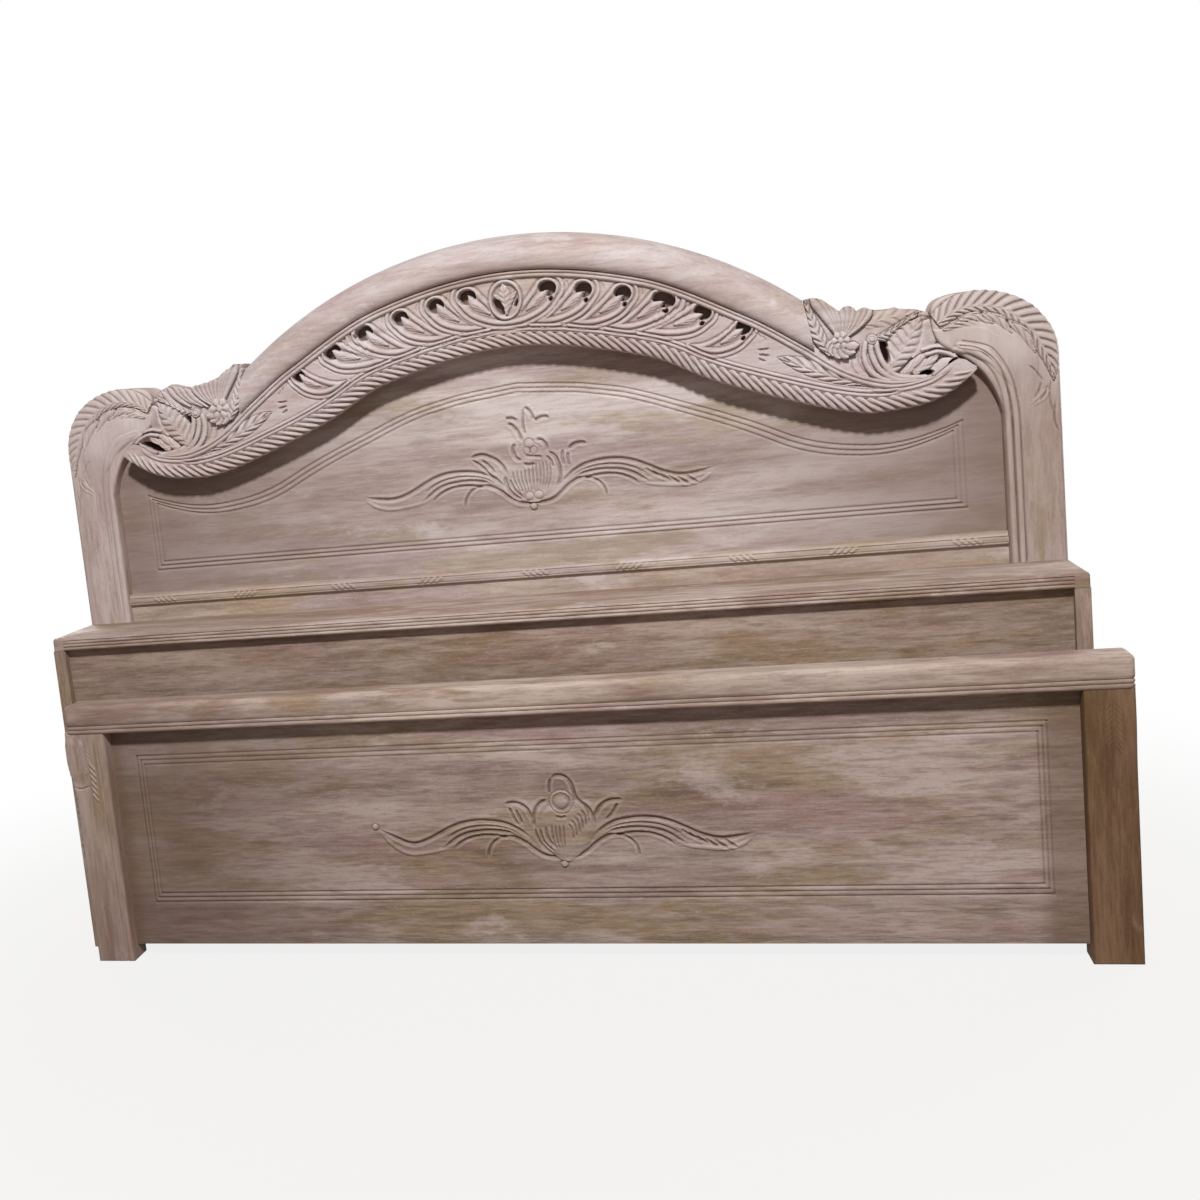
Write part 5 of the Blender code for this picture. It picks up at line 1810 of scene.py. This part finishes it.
@dataclass
class HeadPanel(SubAssembly):
    """Headboard panel with its lotus and border, the rails and boards round it and the ledge moulding."""

    crest: Crest
    side: float = 0.867
    base: float = 0.688
    shoulder: float = 1.04
    front: float = 0.025
    back: float = 0.045
    border_gap: float = 0.0085
    border_side: float = 0.783
    border_base: float = 0.7545
    border_line: Path = (
        (0.0, 1.042), (0.1, 1.0325), (0.15, 1.024), (0.2, 1.013), (0.25, 0.9965), (0.3, 0.977),
        (0.375, 0.948), (0.4375, 0.921), (0.5, 0.891), (0.55, 0.875), (0.6, 0.8665), (0.65, 0.863),
        (0.7, 0.868), (0.75, 0.881), (0.783, 0.893),
    )
    ledge: Triple = (0.674, 0.7, 0.8547)

    def build(self) -> None:
        """Make the panel and the ledge moulding, and dress the boards."""
        panel = CarvedPlate(self._outline(), self.front, self.back, self._carve, 0.0015, 14, 0.02)
        self.add("carved_head_panel", panel.form(), HEAD_TEAK, "head_panel")
        low, high, reach = self.ledge
        outline = rectangle(reach, low, high)
        ledge = CarvedPlate(outline, 0.003, 0.0094, self._carve_ledge, 0.0011, 12, 0.01)
        self.add("carved_head_ledge", ledge.form(), LEDGE_TEAK, "head_ledge_moulding")
        self.keep(LEDGE_TEAK, 0.002, "head_middle_rail")
        self.keep(HEAD_TEAK, 0.002, "head_bottom_rail", "head_back_board")
        self.keep(HEAD_TEAK_UPRIGHT, 0.003, "head_batten_left", "head_batten_middle", "head_batten_right")

    def _outline(self) -> list[Pair]:
        """Outline of the panel, rising behind the crest.

        Returns:
            The points in order.
        """
        loop = [(-self.side, self.base), (self.side, self.base), (self.side, self.shoulder)]
        for x in np.linspace(0.8, -0.8, 65):
            loop.append((x, max(self.shoulder, self.crest.top(x) + 0.025)))
        return loop + [(-self.side, self.shoulder)]

    def _carve(self, relief: Relief) -> None:
        """Carve the border's three lines and the lotus."""
        line = smooth_line(list(self.border_line), 6)
        whole = mirror_line(line) + line[1:]
        for step in (-1, 0, 1):
            gap = step * self.border_gap
            side = self.border_side + gap
            reach = [(min(max(x * side / self.border_side, -side), side), z + gap) for x, z in whole]
            low = self.border_base - gap
            cut_line(relief, reach, 0.0052, 0.003)
            cut_line(relief, [(-side, low), (side, low)], 0.0052, 0.003)
            for edge in (-side, side):
                cut_line(relief, [(edge, low), (edge, reach[-1][1])], 0.006, 0.0011)
        Lotus(LotusKind.OPEN, 0.015, 0.905).carve(relief)

    def _carve_ledge(self, relief: Relief) -> None:
        """Round the ledge moulding and nick it in groups."""
        low, high, _ = self.ledge
        share = (relief.points[:, 1] - low) / (high - low)
        relief.height -= 0.0055 * ease((share - 0.72) / 0.28)
        relief.height -= 0.0055 * ease((0.26 - share) / 0.26)
        for level in (0.28, 0.66):
            relief.height -= 0.0014 * vee(share - level, 0.07)
        for group, x in enumerate(np.linspace(-0.8, 0.76, 9)):
            for nick in range(4):
                start = x + nick * 0.012
                tilt = 0.016 if group % 2 == 0 else -0.016
                relief.stroke([(start, high - 0.007), (start + tilt, low + 0.007)], 0.007, 0.002, 0.2)


class EdgedSlab(NamedTuple):
    """A level slab with a moulded edge.

    It has plan points, their outward directions, the share of the beads that each has, and the edge's
    section as (inset of the beads, inset of the plain edge, height).
    """

    plan: np.ndarray
    outward: np.ndarray
    beaded: np.ndarray
    section: Sequence[Triple]

    def form(self) -> Form:
        """Mesh the slab.

        Returns:
            The closed mesh.
        """
        rings = []
        for bead, plain, z in self.section:
            level = self.plan - self.outward * (self.beaded * bead + plain)[:, None]
            rings.append(np.column_stack([level, np.full(len(level), z)]))
        return loft(np.array(rings))


def bead_section(low: float, high: float, count: int, deep: float) -> list[Triple]:
    """Section of a row of beads.

    Args:
        low: Height of the row's lower end.
        high: Height of its upper end.
        count: How many beads.
        deep: How far the lines between them are cut in.

    Returns:
        (inset, 0, height) for each step, upwards.
    """
    section = []
    for share in np.linspace(0.0, 1.0, count * 8 + 1):
        swell = abs(math.sin(math.pi * count * share)) ** 0.6
        section.append((deep * (1 - swell), 0.0, low + (high - low) * share))
    return section


CORNER_STEPS = 8


def corner_arc(x: float, y: float, radius: float, start: float) -> tuple[list[Pair], list[Pair]]:
    """A quarter turn of a rounded corner in plan.

    Args:
        x: Middle of the turn.
        y: Middle of the turn.
        radius: Its radius.
        start: Its first angle in degrees.

    Returns:
        The points and the directions out of the corner.
    """
    turns = [math.radians(start + 90 * step / CORNER_STEPS) for step in range(CORNER_STEPS + 1)]
    outward = [(math.cos(turn), math.sin(turn)) for turn in turns]
    return [(x + radius * across, y + radius * along) for across, along in outward], outward


@dataclass
class ShelfBox(SubAssembly):
    """The shelf box in front of the headboard."""

    half: float = 0.95
    front: float = -0.168
    back: float = -0.0003
    between: float = 0.8547
    rear: float = 0.0097
    base: float = 0.62
    top: float = 0.644
    stile: float = 0.925
    stile_front: float = -0.1645
    corner: float = 0.006

    def build(self) -> None:
        """Make the top with its beaded edge, and dress the boards."""
        reach, near = self.half - self.corner, self.stile_front + self.corner
        left, left_out = corner_arc(-reach, near, self.corner, 180)
        right, right_out = corner_arc(reach, near, self.corner, 270)
        front = [(-self.stile - 0.0005, self.stile_front), (-self.stile + 0.0005, self.front)]
        front += [(-x, y) for x, y in reversed(front)]
        plan = [(-self.half, self.back), *left, *front, *right, (self.half, self.back)]
        plan += [(self.between, self.back), (self.between, self.rear)]
        plan += [(-self.between, self.rear), (-self.between, self.back)]
        outward = [(-1.0, 0.0), *left_out, *[(0.0, -1.0)] * 4, *right_out, (1.0, 0.0), *[(0.0, 0.0)] * 4]
        beaded = np.array([1.0 if y == self.front else 0.0 for _, y in plan])
        section = [(0.003, 0.0, self.base)] + bead_section(self.base + 0.0005, self.top - 0.0045, 3, 0.0026)
        section += [(0.0, 0.0004, self.top - 0.003), (0.0, 0.0014, self.top - 0.001)]
        section.append((0.0, 0.0035, self.top))
        slab = EdgedSlab(np.array(plan), np.array(outward), beaded, section)
        self.add("carved_box_top", slab.form(), BOX_TOP_TEAK, "box_top")
        self.keep(BOX_TEAK_UPRIGHT, 0.002, "box_end_left", "box_end_right", "box_divider")
        self.keep(BOX_TEAK, 0.0015, "box_front_panel", "box_bottom_rail", "box_floor", "box_floor_ledger")
        self.keep(BOX_TEAK, 0.0015, "box_cleat_front", "box_cleat_back")


@dataclass
class Footboard(SubAssembly):
    """The footboard: beaded cap rail, knee-carved posts, lotus panel and bottom rail."""

    half: float = 0.95
    depth: float = 0.062
    rail_base: float = 0.465
    rail_top: float = 0.522
    corner: float = 0.011
    post_outer: float = 0.948
    post_inner: float = 0.871
    post_front: float = 0.003
    post_back: float = 0.059
    knee: float = 0.138
    left_swell: float = 0.0098
    right_swell: float = 0.0012
    panel_front: float = 0.03
    panel_back: float = 0.046
    panel_base: float = 0.09
    panel_top: float = 0.477
    border_side: float = 0.813
    border_base: float = 0.122
    border_top: float = 0.402

    def build(self) -> None:
        """Make the rail, posts and panel, and dress the boards."""
        self.add("carved_foot_rail", self._rail().form(), FOOT_RAIL_TEAK, "foot_cap_rail")
        right = self._post_outline(self.right_swell)
        left = mirror_line(self._post_outline(self.left_swell))
        finishes = {"left": FOOT_TEAK_UPRIGHT, "right": FOOT_TEAK_BROWN}
        for side, outline in (("left", left), ("right", right)):
            post = CarvedPlate(outline, self.post_front, self.post_back, self._carve_post, 0.0014, rim=0.004)
            self.add(f"carved_foot_post_{side}", post.form(), finishes[side], f"foot_post_{side}")
        outline = rectangle(self.post_inner + 0.01, self.panel_base, self.panel_top)
        panel = CarvedPlate(outline, self.panel_front, self.panel_back, self._carve_panel, 0.0015, 14, 0.02)
        self.add("carved_foot_panel", panel.form(), FOOT_TEAK, "foot_panel")
        self.keep(FOOT_TEAK, 0.004, "foot_bottom_rail")
        self.keep(FOOT_TEAK_UPRIGHT, 0.002, "foot_batten_left", "foot_batten_right")

    def _rail(self) -> EdgedSlab:
        """The cap rail, with rounded corners and two beads along its lower edge.

        Returns:
            The slab.
        """
        plan: list[Pair] = []
        outward: list[Pair] = []
        near, far = self.corner, self.depth - self.corner
        reach = self.half - self.corner
        for x, y, start in ((-reach, near, 180), (reach, near, 270), (reach, far, 0), (-reach, far, 90)):
            points, ways = corner_arc(x, y, self.corner, start)
            plan += points
            outward += ways
        section = [(0.0045, 0.0, self.rail_base)]
        section += bead_section(self.rail_base + 0.001, self.rail_base + 0.0165, 2, 0.0024)
        section += [(0.0004, 0.0, self.rail_base + 0.018), (0.0, 0.0, self.rail_base + 0.024)]
        round_off = 0.011
        for turn in np.linspace(0.0, math.pi / 2, 8):
            inset, drop = round_off * (1 - math.cos(turn)), round_off * (1 - math.sin(turn))
            section.append((0.0, inset, self.rail_top - drop))
        return EdgedSlab(np.array(plan), np.array(outward), np.ones(len(plan)), section)

    def _post_outline(self, swell: float) -> list[Pair]:
        """Outline of a post as if on the right.

        Args:
            swell: How far its knee stands out under the rail.

        Returns:
            The points in order.
        """
        top = self.rail_base + 0.004
        loop = [(self.post_inner, 0.0), (self.post_outer, 0.0)]
        for share in np.linspace(0.0, 1.0, 31):
            out = swell * (ease(share * 1.5) - 0.25 * share**4)
            loop.append((self.post_outer + out, top - self.knee * (1 - share)))
        return loop + [(self.post_inner, top)]

    def _carve_post(self, relief: Relief) -> None:
        """Carve a post's face; the knee shows on the left one only."""
        face, right = relief.as_right()
        face.round_edge(self._post_outline(self.right_swell if right else self.left_swell), 0.004)
        if not right:
            line = self.post_inner + 0.016
            face.stroke([(line, 0.0), (line, 0.47)], 0.0036, -0.0012, 0.0, True)
            face.stroke([(0.938, 0.47), (0.938, 0.41), (0.93, 0.364)], 0.044, 0.004, 0.25)
            face.stroke([(0.908, 0.364), (0.934, 0.356), (0.952, 0.362)], 0.005, -0.0026, 0.3, True)
            for step in range(6):
                z = 0.412 - step * 0.0125
                face.stroke([(0.912, z), (0.896, z - 0.023)], 0.0048, 0.0026, 0.3)
        for step in range(9):
            z = 0.444 - step * 0.0092
            face.stroke([(0.916, z), (0.929, z - 0.019)], 0.0026, -0.0012, 0.3, True)
            face.stroke([(0.903, z - 0.017), (0.914, z - 0.002)], 0.0026, -0.0012, 0.3, True)

    def _carve_panel(self, relief: Relief) -> None:
        """Carve the border's three lines and the lotus."""
        for step in (-1, 0, 1):
            gap = step * 0.009
            side, low, high = self.border_side + gap * 0.8, self.border_base - gap, self.border_top + gap
            for z in (low, high):
                cut_line(relief, [(-side, z), (side, z)], 0.0044, 0.0026)
            for x in (-side, side):
                cut_line(relief, [(x, low), (x, high)], 0.0044, 0.0018)
        Lotus(LotusKind.HOODED, 0.0, 0.265, 0.012).carve(relief)


@dataclass
class RailFittings(SubAssembly):
    """Steel plates, studs and screws that take the side rails."""

    prefixes: Sequence[str] = ("rail_plate_", "rail_stud_", "plate_screw_")

    def build(self) -> None:
        """Dress every steel node."""
        names = [name for name in sorted(self.nodes) if name.startswith(tuple(self.prefixes))]
        self.keep(FITTING_STEEL, 0.0, *names)


# Studio

SEEN_RAYS = ("Is Camera Ray", "Is Glossy Ray", "Is Transmission Ray")


class Lamp(NamedTuple):
    """A square lamp: its name, place, side length and power."""

    name: str
    place: Triple
    size: float
    energy: float


@dataclass
class Studio:
    """Floor, light and camera."""

    eye: Triple = (0.43272, -2.48883, 1.0343)
    turn: Triple = (-0.128502, 0.106169, 0.263636)
    lens: float = 40.82
    shift: Pair = (0.15617, -0.01661)
    floor_reach: float = 14.0
    floor_tone: Colour = tone(158, 148, 140)
    floor_glow: float = 0.84
    floor_clear: Pair = (0.9, 2.2)
    aim: Triple = (0.0, 0.0, 0.7)
    lamps: Sequence[Lamp] = (
        Lamp("high_lamp", (0.45, -3.2, 3.95), 0.36, 236.0),
        Lamp("low_lamp", (0.25, -3.2, 1.95), 0.5, 5.0),
        Lamp("left_back_lamp", (-3.2, 2.4, 1.1), 1.2, 95.0),
        Lamp("right_back_lamp", (3.2, 2.4, 1.1), 1.2, 95.0),
    )
    sky: float = 0.036
    sky_tone: Colour = tone(255, 200, 178)

    def build(self) -> None:
        """Set up the studio."""
        self._floor()
        self._lights()
        self._camera()
        bpy.context.scene.view_settings.view_transform = "Standard"

    @staticmethod
    def _seen(tree: ShadeTree) -> Shade:
        """1 for rays that show the background, 0 for rays that only carry light."""
        return sum(tree.node("ShaderNodeLightPath", {}, {}, ray) for ray in SEEN_RAYS)

    def _floor(self) -> None:
        """Lay a pale floor that shows the shadow and turns white further out."""
        mesh = bpy.data.meshes.new("studio_floor")
        reach = self.floor_reach
        corners = [(-reach, -reach, 0), (reach, -reach, 0), (reach, reach, 0), (-reach, reach, 0)]
        mesh.from_pydata(corners, [], [(0, 1, 2, 3)])
        tree = ShadeTree(bpy.data.materials.new("studio_floor"))
        seen = self._seen(tree)
        place = tree.node("ShaderNodeTexCoord", {}, {}, "Object")
        distance = tree.node("ShaderNodeVectorMath", {"operation": "LENGTH"}, {0: place}, "Value")
        share = seen * (self.floor_glow + distance.step(*self.floor_clear) * (1 - self.floor_glow))
        plain = tree.node("ShaderNodeBsdfDiffuse", {}, {"Color": self.floor_tone})
        glow = tree.node("ShaderNodeEmission", {}, {"Color": WHITE, "Strength": 1.0})
        mixed = tree.node("ShaderNodeMixShader", {}, {0: share, 1: plain, 2: glow})
        mesh.materials.append(tree.finish(mixed))
        floor = bpy.data.objects.new("studio_floor", mesh)
        bpy.context.scene.collection.objects.link(floor)

    def _lights(self) -> None:
        """Hang the lamps, two of them for the sides and back, and make a pale sky."""
        for lamp in self.lamps:
            light = bpy.data.lights.new(lamp.name, "AREA")
            light.size = lamp.size
            light.energy = lamp.energy
            stand = bpy.data.objects.new(lamp.name, light)
            stand.location = lamp.place
            stand.visible_camera = False
            aim = Vector(self.aim) - Vector(lamp.place)
            stand.rotation_euler = aim.to_track_quat("-Z", "Y").to_euler()
            bpy.context.scene.collection.objects.link(stand)
        tree = ShadeTree(bpy.data.worlds.new("studio_world"))
        seen = self._seen(tree)
        fill = tree.node("ShaderNodeBackground", {}, {"Color": self.sky_tone, "Strength": self.sky})
        white = tree.node("ShaderNodeBackground", {}, {"Color": WHITE, "Strength": 1.0})
        mixed = tree.node("ShaderNodeMixShader", {}, {0: seen, 1: fill, 2: white})
        bpy.context.scene.world = tree.finish(mixed)

    def _camera(self) -> None:
        """Stand the camera where the photograph was taken."""
        pitch, roll, yaw = self.turn
        turned = Matrix.Rotation(yaw, 3, "Z") @ Matrix.Rotation(pitch, 3, "X")
        turned = turned @ Matrix.Rotation(roll, 3, "Y")
        right, ahead, up = turned.col[0], turned.col[1], turned.col[2]
        data = bpy.data.cameras.new("photo_camera")
        data.sensor_width = 36.0
        data.lens = self.lens
        data.shift_x, data.shift_y = self.shift
        camera = bpy.data.objects.new("photo_camera", data)
        axes = Matrix((right, up, -ahead)).transposed().to_4x4()
        camera.matrix_world = Matrix.Translation(self.eye) @ axes
        bpy.context.scene.collection.objects.link(camera)
        bpy.context.scene.camera = camera


def stand_of(body: str, middle: str, face: str) -> Stand:
    """Find where a unit stands.

    Args:
        body: The unit's body.
        middle: Node whose middle is the unit's middle.
        face: Node whose front is the unit's zero.

    Returns:
        The stand.
    """
    low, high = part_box(middle)
    return Stand(body, (low.x + high.x) / 2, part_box(face)[0].y)


def main() -> None:
    """Load the frame, build every sub-assembly in order and note the sizes."""
    logging.basicConfig(level=logging.INFO, format="%(name)s %(message)s")
    for leftover in list(bpy.data.objects):
        bpy.data.objects.remove(leftover)
    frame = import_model()
    nodes = frame["nodes"]
    shelf = FinishShelf()
    head = stand_of("head_unit", "head_panel", "head_post_left")
    foot = stand_of("foot_unit", "foot_cap_rail", "foot_cap_rail")
    crest = Crest(head, nodes, shelf)
    assemblies = (
        crest,
        HeadPosts(head, nodes, shelf),
        HeadPanel(head, nodes, shelf, crest),
        ShelfBox(head, nodes, shelf),
        Footboard(foot, nodes, shelf),
        RailFittings(head, nodes, shelf),
    )
    for assembly in assemblies:
        assembly.build()
    Studio().build()


if __name__ == "__main__":
    main()
